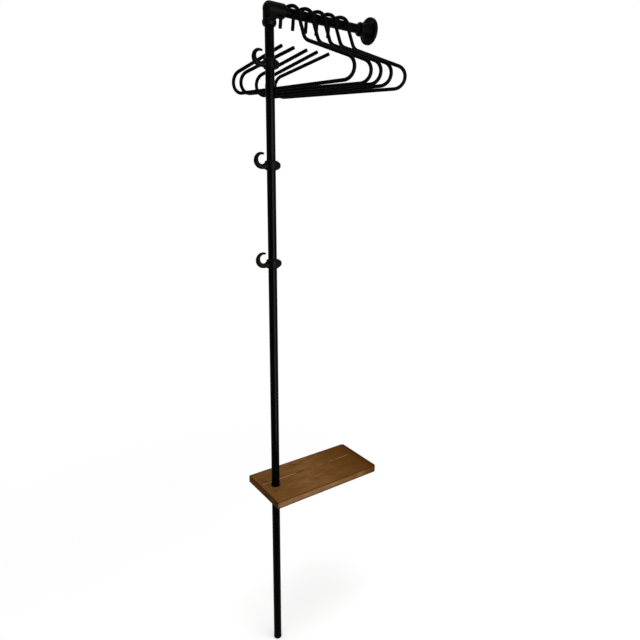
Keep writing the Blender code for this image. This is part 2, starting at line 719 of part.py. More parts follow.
def build_hanger(index, hook_place, end_place):
    """One hanger, hung on the rail and turned so that its left end comes out from the wall."""
    path = hanger_path()
    tilt = hanging_tilt(path)
    yaw = math.asin((hook_place - end_place) / HANGER_LEFT)
    points, radii = rounded_rod(path, HANGER_ROD / 2)
    hanger = swept(f"hanger_{index}", [(across, 0.0, up) for across, up in points], radii, parts)
    height = RAIL_HEIGHT + PIPE_RADIUS + FIT_GAP + HANGER_ROD / 2 - HANGER_HOOK_RADIUS
    hanger.rotation_mode = "XYZ"
    place(hanger, (0.0, hook_place, height), (0.0, tilt, yaw))
    finish(hanger, rod_paint)


build_pole()
build_foot_cap()
build_elbow()
build_rail()
build_flange()
for hook_level, hook_drop in HOOK_DROPS.items():
    build_hook(hook_level, RAIL_HEIGHT - hook_drop)
build_shelf_board()
build_shelf_collar()
build_shelf_bracket()
for hanger_index, places in enumerate(zip(HANGER_HOOK_PLACES, HANGER_END_PLACES), start=1):
    build_hanger(hanger_index, *places)
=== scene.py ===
"""Looks of the wall coat rack: black pipe and castings, five bent-rod hangers and a stained shelf.

All sizes are in metres in the part's own frame: the pole stands on the floor at the origin, +Z is
up and +Y points to the wall.
"""
import math
from functools import partial

import bmesh
import bpy
from mathutils import Matrix, Vector, noise


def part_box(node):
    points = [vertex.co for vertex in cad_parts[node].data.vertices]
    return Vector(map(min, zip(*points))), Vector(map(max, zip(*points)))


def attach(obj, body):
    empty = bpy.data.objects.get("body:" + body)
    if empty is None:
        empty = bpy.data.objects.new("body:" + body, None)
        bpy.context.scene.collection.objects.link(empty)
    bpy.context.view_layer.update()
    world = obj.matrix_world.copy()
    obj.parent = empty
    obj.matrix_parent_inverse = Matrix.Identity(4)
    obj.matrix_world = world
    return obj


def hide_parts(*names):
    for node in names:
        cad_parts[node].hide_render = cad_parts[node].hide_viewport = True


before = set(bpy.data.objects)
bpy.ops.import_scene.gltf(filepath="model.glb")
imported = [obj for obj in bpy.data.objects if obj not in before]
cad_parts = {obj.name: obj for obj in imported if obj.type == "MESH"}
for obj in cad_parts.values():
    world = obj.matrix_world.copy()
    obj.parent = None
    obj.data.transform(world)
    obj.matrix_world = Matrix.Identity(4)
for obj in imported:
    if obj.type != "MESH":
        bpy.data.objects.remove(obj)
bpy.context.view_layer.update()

# Pole
# A length of welded steel pipe, lacquered black, that carries all the other pieces.
# It is cut square with its ends filed, stands on a plug and runs up into the elbow.
pipe_radius = 0.01345
pipe_bore = 0.01085
pipe_sides = 72
file_break = 0.0006
on_axis = 0.000001
lacquer_deep = (0.0005, 0.0005, 0.0005)
lacquer_pale = (0.0014, 0.0013, 0.0012)
dust_colour = (0.090, 0.082, 0.072)
bare_steel = (0.110, 0.108, 0.105)
# How far the tone of a coat and the dust on it change its roughness
coat_unevenness = 0.05
dust_dulling = 0.5
# Scales of the coat's patterns: two as shares of its peel's cells, the rest in cells for each metre
long_peel_share = 0.27
slow_tone_share = 0.025
dust_cells = 140.0
ragged_cells = 420.0
rubbed_cells = 60.0


def round_loop(shape, radius, height, sides):
    """New points of a shape on a circle round Z."""
    loop = []
    for step in range(sides):
        angle = math.tau * step / sides
        loop.append(shape.verts.new((radius * math.cos(angle), radius * math.sin(angle), height)))
    return loop


def turned(profile, sides, closed=False):
    """Turn (radius, height) points round Z; a point on the axis becomes one vertex."""
    shape = bmesh.new()
    rings = []
    for radius, height in profile:
        rings.append(round_loop(shape, radius, height, sides if radius > on_axis else 1))
    following = rings[1:] + rings[:1] if closed else rings[1:]
    for ring, after in zip(rings, following):
        for step in range(sides):
            corners = [ring[step % len(ring)], ring[(step + 1) % len(ring)],
                       after[(step + 1) % len(after)], after[step % len(after)]]
            corners = list(dict.fromkeys(corners))
            if len(corners) > 2:
                shape.faces.new(corners)
    bmesh.ops.recalc_face_normals(shape, faces=shape.faces)
    return shape


def as_mesh(shape, name, place=Matrix.Identity(4)):
    """Write a shape to a mesh at its place."""
    mesh = bpy.data.meshes.new(name)
    shape.to_mesh(mesh)
    shape.free()
    mesh.transform(place)
    return mesh


def in_scene(name, data):
    """Put new data in the scene as an object."""
    thing = bpy.data.objects.new(name, data)
    bpy.context.scene.collection.objects.link(thing)
    return thing


def mark_edges(mesh, blunt=80.0, sharp=260.0, rounds=3):
    """Store how sharply each point stands out, from 0 on flats and hollows to 1 on edges.

    Blunt and sharp are the curvatures, in 1/m, that count as 0 and 1 after some rounds of easing.
    """
    shape = bmesh.new()
    shape.from_mesh(mesh)
    bends = []
    for point in shape.verts:
        bend = 0.0
        for edge in point.link_edges:
            step = edge.other_vert(point).co - point.co
            bend -= 2 * step.dot(point.normal) / max(step.length_squared, 1e-12)
        bends.append(bend / max(len(point.link_edges), 1))
    shape.verts.index_update()
    for _ in range(rounds):
        calmed = []
        for point in shape.verts:
            near = [bends[edge.other_vert(point).index] for edge in point.link_edges]
            calmed.append((bends[point.index] + sum(near)) / (1 + len(near)))
        bends = calmed
    shape.free()
    values = [min(max((bend - blunt) / (sharp - blunt), 0.0), 1.0) for bend in bends]
    mesh.attributes.new("edge", "FLOAT", "POINT").data.foreach_set("value", values)


def set_piece(name, mesh, finish, body, nodes, crease=34.0):
    """Make a finished mesh a piece that rides on its body and stands for its CAD nodes."""
    mesh.name = name
    mesh.materials.clear()
    mesh.materials.append(finish)
    mesh.shade_smooth()
    mesh.set_sharp_from_angle(angle=math.radians(crease))
    if "edge" not in mesh.attributes:
        mark_edges(mesh)
    piece = in_scene(name, mesh)
    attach(piece, body)
    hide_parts(*nodes)


def pipe_length(low, high):
    """A length of the pipe along Z, with both of its ends filed."""
    outer, inner, file = pipe_radius, pipe_bore, file_break
    profile = [(outer - file, high), (outer, high - file), (outer, low + file), (outer - file, low),
               (inner + file, low), (inner, low + file), (inner, high - file), (inner + file, high)]
    return turned(profile, pipe_sides, closed=True)


def put(tree, kind, sockets=None, **settings):
    """Add a node, set it up, and link or set its inputs."""
    node = tree.nodes.new(kind)
    for name, value in settings.items():
        setattr(node, name, value)
    for socket, source in (sockets or {}).items():
        if isinstance(source, bpy.types.NodeSocket):
            tree.links.new(source, node.inputs[socket])
        else:
            node.inputs[socket].default_value = source
    return node


def sums(tree, operation, first, second=0.0, clamp=False):
    """The result of a Math node."""
    node = put(tree, "ShaderNodeMath", {0: first, 1: second}, operation=operation, use_clamp=clamp)
    return node.outputs[0]


def ranged(tree, value, low, high, to_low=0.0, to_high=1.0, soft=True):
    """A value brought from one range to another, eased at both ends if soft."""
    kind = "SMOOTHSTEP" if soft else "LINEAR"
    node = put(tree, "ShaderNodeMapRange", {0: value, 1: low, 2: high, 3: to_low, 4: to_high},
               interpolation_type=kind)
    return node.outputs[0]


def tinted(tree, mask, first, second):
    """A colour that goes from the first to the second where the mask is 1."""
    colours = [(*colour, 1.0) if isinstance(colour, tuple) else colour for colour in (first, second)]
    node = put(tree, "ShaderNodeMix", {0: mask, 6: colours[0], 7: colours[1]}, data_type="RGBA")
    return node.outputs[2]


def speckle(tree, place, scale, detail=3.0, rough=0.55):
    """A noise value at a scale in cells for each metre."""
    node = put(tree, "ShaderNodeTexNoise",
               {"Vector": place, "Scale": scale, "Detail": detail, "Roughness": rough})
    return node.outputs[0]


def new_tree(kind, name, inputs, outputs):
    """Start a node tree with named inputs and outputs, and return it with its two ends."""
    tree = bpy.data.node_groups.new(name, kind + "NodeTree")
    for way, labels in (("INPUT", inputs), ("OUTPUT", outputs)):
        for label, value in labels.items():
            tree.interface.new_socket(label, in_out=way, socket_type="NodeSocket" + value)
    return tree, put(tree, "NodeGroupInput").outputs, put(tree, "NodeGroupOutput").inputs


def new_finish(name, gloss):
    """Start a material, and return it with its tree, its shader and its Object coordinates."""
    material = bpy.data.materials.new(name)
    material.use_nodes = True
    tree = material.node_tree
    shader = tree.nodes["Principled BSDF"]
    shader.inputs["Specular IOR Level"].default_value = gloss
    return material, tree, shader.inputs, put(tree, "ShaderNodeTexCoord").outputs["Object"]


def emboss(tree, height, depth, shader):
    """Give a shader a relief of some depth from a height."""
    bump = put(tree, "ShaderNodeBump", {"Strength": 1.0, "Distance": depth, "Height": height})
    tree.links.new(bump.outputs["Normal"], shader["Normal"])


# The skin of a sprayed coat: fine peel as a height, and slow changes of tone
coat_skin, given, result = new_tree("Shader", "coat_skin", {"Place": "Vector", "Peel size": "Float"},
                                    {"Height": "Float", "Tone": "Float"})
cells = sums(coat_skin, "DIVIDE", 1.0, given["Peel size"])
long_cells = sums(coat_skin, "MULTIPLY", cells, long_peel_share)
slow_cells = sums(coat_skin, "MULTIPLY", cells, slow_tone_share)
fine_peel = speckle(coat_skin, given["Place"], cells, 2.0)
long_peel = speckle(coat_skin, given["Place"], long_cells, 1.0)
coat_skin.links.new(sums(coat_skin, "ADD", fine_peel, long_peel), result["Height"])
slow_tone = speckle(coat_skin, given["Place"], slow_cells, 4.0, 0.6)
coat_skin.links.new(ranged(coat_skin, slow_tone, 0.34, 0.66), result["Tone"])

# Dust that has settled on whatever faces up
settled_dust, given, result = new_tree("Shader", "settled_dust", {"Place": "Vector", "Amount": "Float"},
                                       {"Mask": "Float"})
facing = put(settled_dust, "ShaderNodeNewGeometry").outputs["Normal"]
upward = put(settled_dust, "ShaderNodeSeparateXYZ", {0: facing}).outputs[2]
patches = ranged(settled_dust, speckle(settled_dust, given["Place"], dust_cells, 5.0, 0.65), 0.36, 0.70)
lying = sums(settled_dust, "MULTIPLY", ranged(settled_dust, upward, 0.45, 1.0), patches)
settled_dust.links.new(sums(settled_dust, "MULTIPLY", lying, given["Amount"]), result["Mask"])

# Coat rubbed thin along the edges that hands, loops and straps touch
rubbed_edges, given, result = new_tree(
    "Shader", "rubbed_edges", {"Place": "Vector", "Edge": "Float", "Amount": "Float"}, {"Mask": "Float"})
ragged = speckle(rubbed_edges, given["Place"], ragged_cells, 5.0, 0.7)
along = speckle(rubbed_edges, given["Place"], rubbed_cells, 2.0)
worn = sums(rubbed_edges, "MULTIPLY", given["Edge"], sums(rubbed_edges, "ADD", ragged, along))
worn = ranged(rubbed_edges, worn, 0.62, 1.05)
rubbed_edges.links.new(sums(rubbed_edges, "MULTIPLY", worn, given["Amount"]), result["Mask"])


def black_coat(name, deep, pale, peel, relief, roughness, gloss, dust, wear=0.0, metal=0.0):
    """A black coat on steel, iron or plastic, with its peel, its dust and, if worn, its rubbed edges."""
    material, tree, shader, place = new_finish(name, gloss)
    skin = put(tree, "ShaderNodeGroup", {"Place": place, "Peel size": peel}, node_tree=coat_skin).outputs
    dusty = put(tree, "ShaderNodeGroup", {"Place": place, "Amount": dust},
                node_tree=settled_dust).outputs["Mask"]
    colour = tinted(tree, skin["Tone"], deep, pale)
    if wear:
        edge = put(tree, "ShaderNodeAttribute", attribute_name="edge").outputs["Fac"]
        rubbed = put(tree, "ShaderNodeGroup", {"Place": place, "Edge": edge, "Amount": wear},
                     node_tree=rubbed_edges).outputs["Mask"]
        colour = tinted(tree, rubbed, colour, bare_steel)
        tree.links.new(ranged(tree, rubbed, 0.0, 1.0, metal, 1.0), shader["Metallic"])
    tree.links.new(tinted(tree, dusty, colour, dust_colour), shader["Base Color"])
    dull = ranged(tree, skin["Tone"], 0.0, 1.0, roughness - coat_unevenness, roughness + coat_unevenness)
    dull = sums(tree, "ADD", dull, sums(tree, "MULTIPLY", dusty, dust_dulling), clamp=True)
    tree.links.new(dull, shader["Roughness"])
    emboss(tree, skin["Height"], relief, shader)
    return material


pipe_lacquer = black_coat("pipe_lacquer", lacquer_deep, lacquer_pale, peel=0.0016, relief=0.00003,
                          roughness=0.16, gloss=0.013, dust=0.02)
pole_low, pole_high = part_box("pole")
set_piece("pole_pipe", as_mesh(pipe_length(pole_low.z, pole_high.z), "pole_pipe"), pipe_lacquer,
          "rack", ["pole"])

# Foot plug
# A moulded plastic plug that closes the pole's lower end and keeps steel off the floor.
# Its ribbed shank is pushed into the bore, and its rim takes the pole's weight.
foot_top = 0.0240
foot_lead = 0.0012
foot_shank = 0.01055
foot_rim = 0.0060
foot_radius = 0.0138
foot_edge = 0.0028
rim_break = 0.0004
rib_count = 4
rib_depth = 0.0004
rib_start = 0.0208
rib_pitch = 0.0036
rib_land = 0.0009
rib_slope = 0.0006
sole_radius = 0.0072
sole_recess = 0.0006
sole_slope = 0.0008
plastic_deep = (0.0014, 0.0014, 0.0014)
plastic_pale = (0.0028, 0.0028, 0.0027)


def arc(centre, radius, start, stop, steps):
    """Points along an arc between two angles in degrees."""
    points = []
    for step in range(steps + 1):
        angle = math.radians(start + (stop - start) * step / steps)
        points.append((centre[0] + radius * math.cos(angle), centre[1] + radius * math.sin(angle)))
    return points


foot_core = foot_shank - rib_depth
foot_profile = [(0.0, foot_top), (foot_shank - foot_lead, foot_top), (foot_core, foot_top - foot_lead)]
for rib in range(rib_count):
    crest = rib_start - rib * rib_pitch
    foot_profile += [(foot_core, crest + rib_slope), (foot_shank, crest), (foot_shank, crest - rib_land),
                     (foot_core, crest - rib_land - rib_slope)]
foot_profile += [(foot_core, foot_rim), (foot_radius - rim_break, foot_rim),
                 (foot_radius, foot_rim - rim_break)]
foot_profile += arc((foot_radius - foot_edge, foot_edge), foot_edge, 0.0, -90.0, 8)
foot_profile += [(sole_radius, 0.0), (sole_radius - sole_slope, sole_recess), (0.0, sole_recess)]
cap_plastic = black_coat("cap_plastic", plastic_deep, plastic_pale, peel=0.0007, relief=0.00004,
                         roughness=0.50, gloss=0.014, dust=0.02)
set_piece("foot_plug", as_mesh(turned(foot_profile, pipe_sides), "foot_plug"), cap_plastic,
          "rack", ["pole_foot_cap"])

# Elbow
# A sand-cast iron elbow, painted matt black, with a bead round its lower mouth, a plain level
# arm and a full bend inside its corner. The pole and the rail are pushed into its two bores.
rail_height = 2.0900
elbow_arm = 0.0445
elbow_radius = 0.0181
elbow_bead = 0.0205
elbow_bead_length = 0.0165
bead_share = 1 / 1.12
bead_fullness = 0.55
bead_steps = 12
elbow_level_arm = 0.0470
elbow_level_radius = 0.0205
elbow_edge = 0.0024
elbow_bend = 0.0360
dome_steps = 16
corner_rod_sides = 48
corner_rod_steps = 24
elbow_socket = 0.0193
pipe_seat = 0.01375
mouth_break = 0.0008
mouth_reach = 0.0020
shell_inset = 0.0003
shell_overlap = 0.0005
weld_distance = 0.000002
cast_sides = 72
cast_deep = (0.0009, 0.0009, 0.0008)
cast_pale = (0.0028, 0.0026, 0.0021)
sand_size = 0.00060
sand_rounds = 10
level_to_wall = Matrix.Rotation(math.radians(-90.0), 4, "X")
away_from_wall = Matrix.Rotation(math.radians(90.0), 4, "X")
elbow_place = Matrix.Translation((0.0, 0.0, rail_height))


def upright_arm():
    """The upright arm's outline, from its round top down to its beaded mouth at -Z."""
    profile = arc((0.0, 0.0), elbow_radius, 90.0, 0.0, dome_steps)
    for step in range(bead_steps + 1):
        share = step / bead_steps
        swell = math.sin(math.pi * share / bead_share) ** bead_fullness if share < bead_share else 0.0
        profile.append((elbow_radius + (elbow_bead - elbow_radius) * swell,
                        elbow_bead_length * (1 - share) - elbow_arm))
    return profile + [(0.0, -elbow_arm)]


def level_arm():
    """The level arm's outline, from its domed outer end down to its rounded mouth at -Z."""
    dome = elbow_radius - shell_inset
    quarter = arc((0.0, 0.0), 1.0, 90.0, 0.0, dome_steps)
    profile = [(elbow_level_radius * across, dome * up) for across, up in quarter]
    rim_centre = (elbow_level_radius - elbow_edge, elbow_edge - elbow_level_arm)
    profile += arc(rim_centre, elbow_edge, 0.0, -90.0, 8)
    return profile + [(0.0, -elbow_level_arm)]


def bore(arm):
    """A pipe's bore from its shoulder out past the mouth of an arm, with the mouth broken."""
    shoulder = elbow_socket - arm
    return [(0.0, shoulder), (pipe_seat, shoulder), (pipe_seat, mouth_break - arm),
            (pipe_seat + mouth_break, -arm), (pipe_seat + mouth_break + mouth_reach, -arm - mouth_reach),
            (0.0, -arm - mouth_reach)]


def taken_out(block, *tools):
    """The plain mesh that an object's modifiers make; the object and its tools are removed."""
    bpy.context.view_layer.update()
    mesh = bpy.data.meshes.new_from_object(block.evaluated_get(bpy.context.evaluated_depsgraph_get()))
    for spent in (block, *tools):
        bpy.data.objects.remove(spent)
    return mesh


def fused_casting(name, shells):
    """Fuse overlapping closed shells into one casting and ease its hollows and edges."""
    whole = bmesh.new()
    for shell in shells:
        whole.from_mesh(shell)
        bpy.data.meshes.remove(shell)
    block = in_scene(name, as_mesh(whole, name))
    fuse = block.modifiers.new("Fuse", "REMESH")
    fuse.mode = "VOXEL"
    fuse.voxel_size = sand_size
    ease = block.modifiers.new("Ease", "SMOOTH")
    ease.factor = 0.5
    ease.iterations = sand_rounds
    return block


def bored(block, cutters):
    """Cut a block with closed meshes, and return the plain mesh that is left."""
    tools = []
    for index, cutter in enumerate(cutters):
        tool = in_scene(f"{block.name}_cutter_{index}", cutter)
        tool.hide_render = True
        cut = block.modifiers.new(tool.name, "BOOLEAN")
        cut.operation = "DIFFERENCE"
        cut.solver = "EXACT"
        cut.object = tool
        tools.append(tool)
    return taken_out(block, *tools)


def end_tree(tree, geometry, finish, result):
    """End a Geometry Nodes tree with real geometry in its finish."""
    real = put(tree, "GeometryNodeRealizeInstances", {"Geometry": geometry}).outputs[0]
    finished = put(tree, "GeometryNodeSetMaterial", {"Geometry": real, "Material": finish}).outputs[0]
    tree.links.new(finished, result["Geometry"])


def run_tree(tree, mesh, values):
    """Run a tree on a mesh with its inputs set, and return the plain mesh that it makes."""
    holder = in_scene(mesh.name + "_path", mesh)
    nodes = holder.modifiers.new(tree.name, "NODES")
    nodes.node_group = tree
    for socket in tree.interface.items_tree:
        if socket.in_out == "INPUT" and socket.name in values:
            nodes[socket.identifier] = values[socket.name]
    return taken_out(holder)


# A rod bent to a path: corners are rounded by "bend", and "girth" thickens or thins the rod
bent_rod, given, result = new_tree(
    "Geometry", "bent_rod", {"Geometry": "Geometry", "Diameter": "Float", "Sides": "Int",
                             "Bend steps": "Int", "Finish": "Material"}, {"Geometry": "Geometry"})
bend = put(bent_rod, "GeometryNodeInputNamedAttribute", {"Name": "bend"}, data_type="FLOAT")
girth = put(bent_rod, "GeometryNodeInputNamedAttribute", {"Name": "girth"}, data_type="FLOAT")
path = put(bent_rod, "GeometryNodeMeshToCurve", {"Mesh": given["Geometry"]})
path = put(bent_rod, "GeometryNodeFilletCurve",
           {"Curve": path.outputs[0], "Count": given["Bend steps"],
            "Radius": bend.outputs["Attribute"], "Limit Radius": True}, mode="POLY")
half_rod = put(bent_rod, "ShaderNodeMath", {0: given["Diameter"], 1: 0.5}, operation="MULTIPLY")
section = put(bent_rod, "GeometryNodeCurvePrimitiveCircle",
              {"Resolution": given["Sides"], "Radius": half_rod.outputs[0]}, mode="RADIUS")
rod = put(bent_rod, "GeometryNodeCurveToMesh",
          {"Curve": path.outputs[0], "Profile Curve": section.outputs[0],
           "Scale": girth.outputs["Attribute"], "Fill Caps": True})
end_tree(bent_rod, rod.outputs[0], given["Finish"], result)


def bend_rod(name, points, bends, girths, diameter, sides, steps, finish):
    """Bend a rod along 3D points, and close its mesh."""
    line = bpy.data.meshes.new(name)
    line.from_pydata(points, [(index, index + 1) for index in range(len(points) - 1)], [])
    line.attributes.new("bend", "FLOAT", "POINT").data.foreach_set("value", bends)
    line.attributes.new("girth", "FLOAT", "POINT").data.foreach_set("value", girths)
    made = run_tree(bent_rod, line, {"Diameter": diameter, "Sides": sides, "Bend steps": steps,
                                     "Finish": finish})
    shape = bmesh.new()
    shape.from_mesh(made)
    bmesh.ops.remove_doubles(shape, verts=shape.verts, dist=weld_distance)
    bmesh.ops.recalc_face_normals(shape, faces=shape.faces)
    shape.to_mesh(made)
    shape.free()
    return made


cast_black = black_coat("cast_black", cast_deep, cast_pale, peel=0.0011, relief=0.00016,
                        roughness=0.40, gloss=0.014, dust=0.02, wear=0.06)
corner_end = elbow_bend + shell_overlap
corner_line = ((0.0, 0.0, -corner_end), (0.0, 0.0, 0.0), (0.0, corner_end, 0.0))
elbow_corner = bend_rod("elbow_corner", [elbow_place @ Vector(point) for point in corner_line],
                        [0.0, elbow_bend, 0.0], [1.0] * 3, 2 * (elbow_radius - shell_inset),
                        corner_rod_sides, corner_rod_steps, cast_black)
elbow_block = fused_casting("elbow_casting", [
    as_mesh(turned(upright_arm(), cast_sides), "upright_arm", elbow_place), elbow_corner,
    as_mesh(turned(level_arm(), cast_sides), "level_arm", elbow_place @ away_from_wall)])
elbow_mesh = bored(elbow_block, [
    as_mesh(turned(bore(elbow_arm), pipe_sides), "pole_mouth", elbow_place),
    as_mesh(turned(bore(elbow_level_arm), pipe_sides), "rail_mouth", elbow_place @ away_from_wall)])
set_piece("elbow_casting", elbow_mesh, cast_black, "rack", ["elbow"], crease=50.0)

# Rail
# A short length of the same lacquered pipe, level from the elbow to the wall.
# It is held in the elbow's side bore and in the flange's hub, and carries the hangers.
rail_low, rail_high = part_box("rail")
rail_mesh = as_mesh(pipe_length(rail_low.y, rail_high.y), "rail_pipe", elbow_place @ level_to_wall)
set_piece("rail_pipe", rail_mesh, pipe_lacquer, "rack", ["rail"])

# Wall flange
# A cast iron floor flange, painted as the elbow is, with a long hub for the rail.
# Its rim is turned, its face has four countersunk holes, and its flat back sits on the wall.
flange_radius = 0.04025
flange_thickness = 0.0095
flange_edge = 0.0032
flange_depth = 0.0460
flange_break = 0.0006
flange_sides = 96
hub_radius = 0.0206
hub_edge = 0.0028
hub_fillet = 0.0045
flange_screw_circle = 0.0310
flange_screw_count = 4
screw_head = 0.0044
screw_shank = 0.0022
screw_cone = 0.0024
screw_gap = 0.0003
hole_reach = 0.0040
hole_sides = 32
wall_distance = 0.3665
flange_place = Matrix.Translation((0.0, wall_distance, rail_height)) @ away_from_wall
hub_foot = (hub_radius + hub_fillet, flange_thickness + hub_fillet)
flange_profile = [(pipe_seat, flange_depth - flange_break), (pipe_seat + flange_break, flange_depth),
                  (pipe_seat + flange_break + mouth_break, flange_depth)]
flange_profile += arc((hub_radius - hub_edge, flange_depth - hub_edge), hub_edge, 90.0, 0.0, 8)
flange_profile += [(hub_radius, flange_depth - hub_edge - flange_break),
                   (hub_radius, hub_foot[1] + flange_break)]
flange_profile += arc(hub_foot, hub_fillet, 180.0, 270.0, 9)
flange_profile += [(hub_foot[0] + flange_break, flange_thickness),
                   (flange_radius - flange_edge - flange_break, flange_thickness)]
flange_profile += arc((flange_radius - flange_edge, flange_thickness - flange_edge), flange_edge,
                      90.0, 0.0, 9)
flange_profile += [(flange_radius, flange_thickness - flange_edge - flange_break),
                   (flange_radius, flange_break), (flange_radius - flange_break, 0.0), (pipe_seat, 0.0)]
flange_mesh = as_mesh(turned(flange_profile, flange_sides, closed=True), "flange_casting", flange_place)
mark_edges(flange_mesh)
head_hole = screw_head + screw_gap
shank_hole = screw_shank + screw_gap
head_face = flange_thickness - screw_gap
flange_hole = [(0.0, flange_thickness + hole_reach), (head_hole, flange_thickness + hole_reach),
               (head_hole, head_face), (shank_hole, head_face - screw_cone), (shank_hole, -hole_reach),
               (0.0, -hole_reach)]
flange_screw_points = []
flange_cutters = []
for index in range(flange_screw_count):
    angle = math.tau * (index + 0.5) / flange_screw_count
    across = Vector((math.cos(angle), math.sin(angle), 0.0)) * flange_screw_circle
    flange_screw_points.append(flange_place @ across)
    flange_cutters.append(as_mesh(turned(flange_hole, hole_sides), "flange_hole",
                                  flange_place @ Matrix.Translation(across)))
flange_mesh = bored(in_scene("flange_casting", flange_mesh), flange_cutters)
set_piece("flange_body", flange_mesh, cast_black, "rack", ["wall_flange"], crease=30.0)

# Flange screws
# Four blackened steel countersunk screws with hexagon sockets that fix the flange to the wall.
# One screw is turned and broached, then set in each of the four holes.
head_break = 0.0003
screw_socket = 0.0030
screw_socket_depth = 0.0016
drill_cone = 0.25
screw_crease = 28.0
screw_turn = 17.0
screw_deep = (0.0030, 0.0030, 0.0031)
screw_pale = (0.0080, 0.0079, 0.0080)


def bridge(shape, loops):
    """Join each closed loop of points to the next with a band of faces."""
    for loop, after in zip(loops, loops[1:]):
        for index in range(len(loop)):
            ahead = (index + 1) % len(loop)
            shape.faces.new((loop[index], loop[ahead], after[ahead], after[index]))


def socket_screw(profile, width, depth, sides=36):
    """A screw turned from its head's rim down, with a hexagon socket in the head's face."""
    shape = turned(profile + [(0.0, profile[-1][1])], sides)
    top = profile[0][1]
    rings = [list(shape.verts)[:sides]]
    for reach, height in ((width / 2 + head_break, top), (width / 2, top - head_break),
                          (width / 2, top - depth)):
        ring = []
        for step in range(sides):
            angle = math.tau * step / sides
            from_flat = (angle + math.pi / 6) % (math.pi / 3) - math.pi / 6
            radius = reach / math.cos(from_flat)
            ring.append(shape.verts.new((radius * math.cos(angle), radius * math.sin(angle), height)))
        rings.append(ring)
    bridge(shape, rings)
    drill_point = shape.verts.new((0.0, 0.0, top - depth - width * drill_cone))
    for step in range(sides):
        shape.faces.new((rings[-1][step], rings[-1][(step + 1) % sides], drill_point))
    bmesh.ops.recalc_face_normals(shape, faces=shape.faces)
    return shape


# One screw on each point, turned as the point's own "turn" says
screws_on_points, given, result = new_tree(
    "Geometry", "screws_on_points", {"Geometry": "Geometry", "Screw": "Object", "Finish": "Material"},
    {"Geometry": "Geometry"})
turn = put(screws_on_points, "GeometryNodeInputNamedAttribute", {"Name": "turn"},
           data_type="FLOAT_VECTOR")
one_screw = put(screws_on_points, "GeometryNodeObjectInfo", {"Object": given["Screw"]})
set_screws = put(screws_on_points, "GeometryNodeInstanceOnPoints",
                 {"Points": given["Geometry"], "Instance": one_screw.outputs["Geometry"],
                  "Rotation": turn.outputs["Attribute"]})
end_tree(screws_on_points, set_screws.outputs[0], given["Finish"], result)


def place_screws(name, screw, points, turns, body, nodes):
    """Set a screw on each of some points, each with its own turn in radians, as one piece."""
    spots = bpy.data.meshes.new(name)
    spots.from_pydata(points, [], [])
    flat = [value for angles in turns for value in angles]
    spots.attributes.new("turn", "FLOAT_VECTOR", "POINT").data.foreach_set("vector", flat)
    pattern = in_scene(name + "_pattern", screw)
    made = run_tree(screws_on_points, spots, {"Screw": pattern, "Finish": screw_steel})
    bpy.data.objects.remove(pattern)
    set_piece(name, made, screw_steel, body, nodes, screw_crease)


screw_steel = black_coat("screw_steel", screw_deep, screw_pale, peel=0.0005, relief=0.00002,
                         roughness=0.42, gloss=0.02, dust=0.02, wear=0.06, metal=0.85)
flange_screw = socket_screw([(screw_head - head_break, head_face), (screw_head, head_face - head_break),
                             (screw_shank, head_face - screw_cone), (screw_shank, screw_gap)],
                            screw_socket, screw_socket_depth)
flange_screw_turns = []
flange_screw_nodes = []
for index in range(flange_screw_count):
    flange_screw_turns.append((math.radians(90.0), math.radians(screw_turn * index), 0.0))
    flange_screw_nodes.append(f"flange_screw_{index + 1}")
place_screws("flange_screws", as_mesh(flange_screw, "flange_screw"), flange_screw_points,
             flange_screw_turns, "rack", flange_screw_nodes)

# Ring hooks
# Three cast iron hooks with a ring round the pole, a curled and tapered hook at the front
# and a boss at the back. Each is cast in one piece, bored, painted and held by a set screw.
hook_levels = {"upper": 1.9465, "middle": 1.6665, "lower": 1.3728}
ring_radius = 0.01925
ring_half = 0.0140
ring_edge = 0.0046
curl_centre = (-0.03145, 0.0148)
curl_radius = 0.0189
curl_steps = 56
curl_sides = 40
hook_start = -0.0154
hook_steps = 12
hook_body = 0.0075
hook_root = 0.0110
hook_tip = 0.0032
hook_tip_angle = 72.0
tip_steps = 6
taper_start = 0.36
boss_radius = 0.0137
boss_nose = 0.0100
boss_edge = 0.0040
boss_end = 0.02865
boss_sides = 48
set_screw_radius = 0.0040
hook_cut = 0.0300
tapped_cut = 0.0340
tapped_sides = 36


def hook_line():
    """The hook's centreline from the ring to its tip, with the rod's radius at each point."""
    under_root = ring_edge / 2 - ring_half
    under_curl = curl_centre[1] - curl_radius - hook_body
    line = []
    for step in range(hook_steps):
        share = step / hook_steps
        radius = hook_body + (hook_root - hook_body) * (1 - share) ** 2
        level = under_root + (under_curl - under_root) * share
        line.append((hook_start + (curl_centre[0] - hook_start) * share, level + radius, radius))
    last = hook_tip_angle - 360.0
    for step, point in enumerate(arc(curl_centre, curl_radius, -90.0, last, curl_steps)):
        taper = max(0.0, (step / curl_steps - taper_start) / (1 - taper_start))
        line.append((*point, hook_body + (hook_tip - hook_body) * taper))
    # The tip is rounded, and its last ring stays open a little so that it can be capped
    for step in range(1, tip_steps + 1):
        angle = math.radians(90.0 * step / (tip_steps + 0.2))
        turn = last - math.degrees(hook_tip * math.sin(angle) / curl_radius)
        line.append((*arc(curl_centre, curl_radius, turn, turn, 1)[0], hook_tip * math.cos(angle)))
    return line


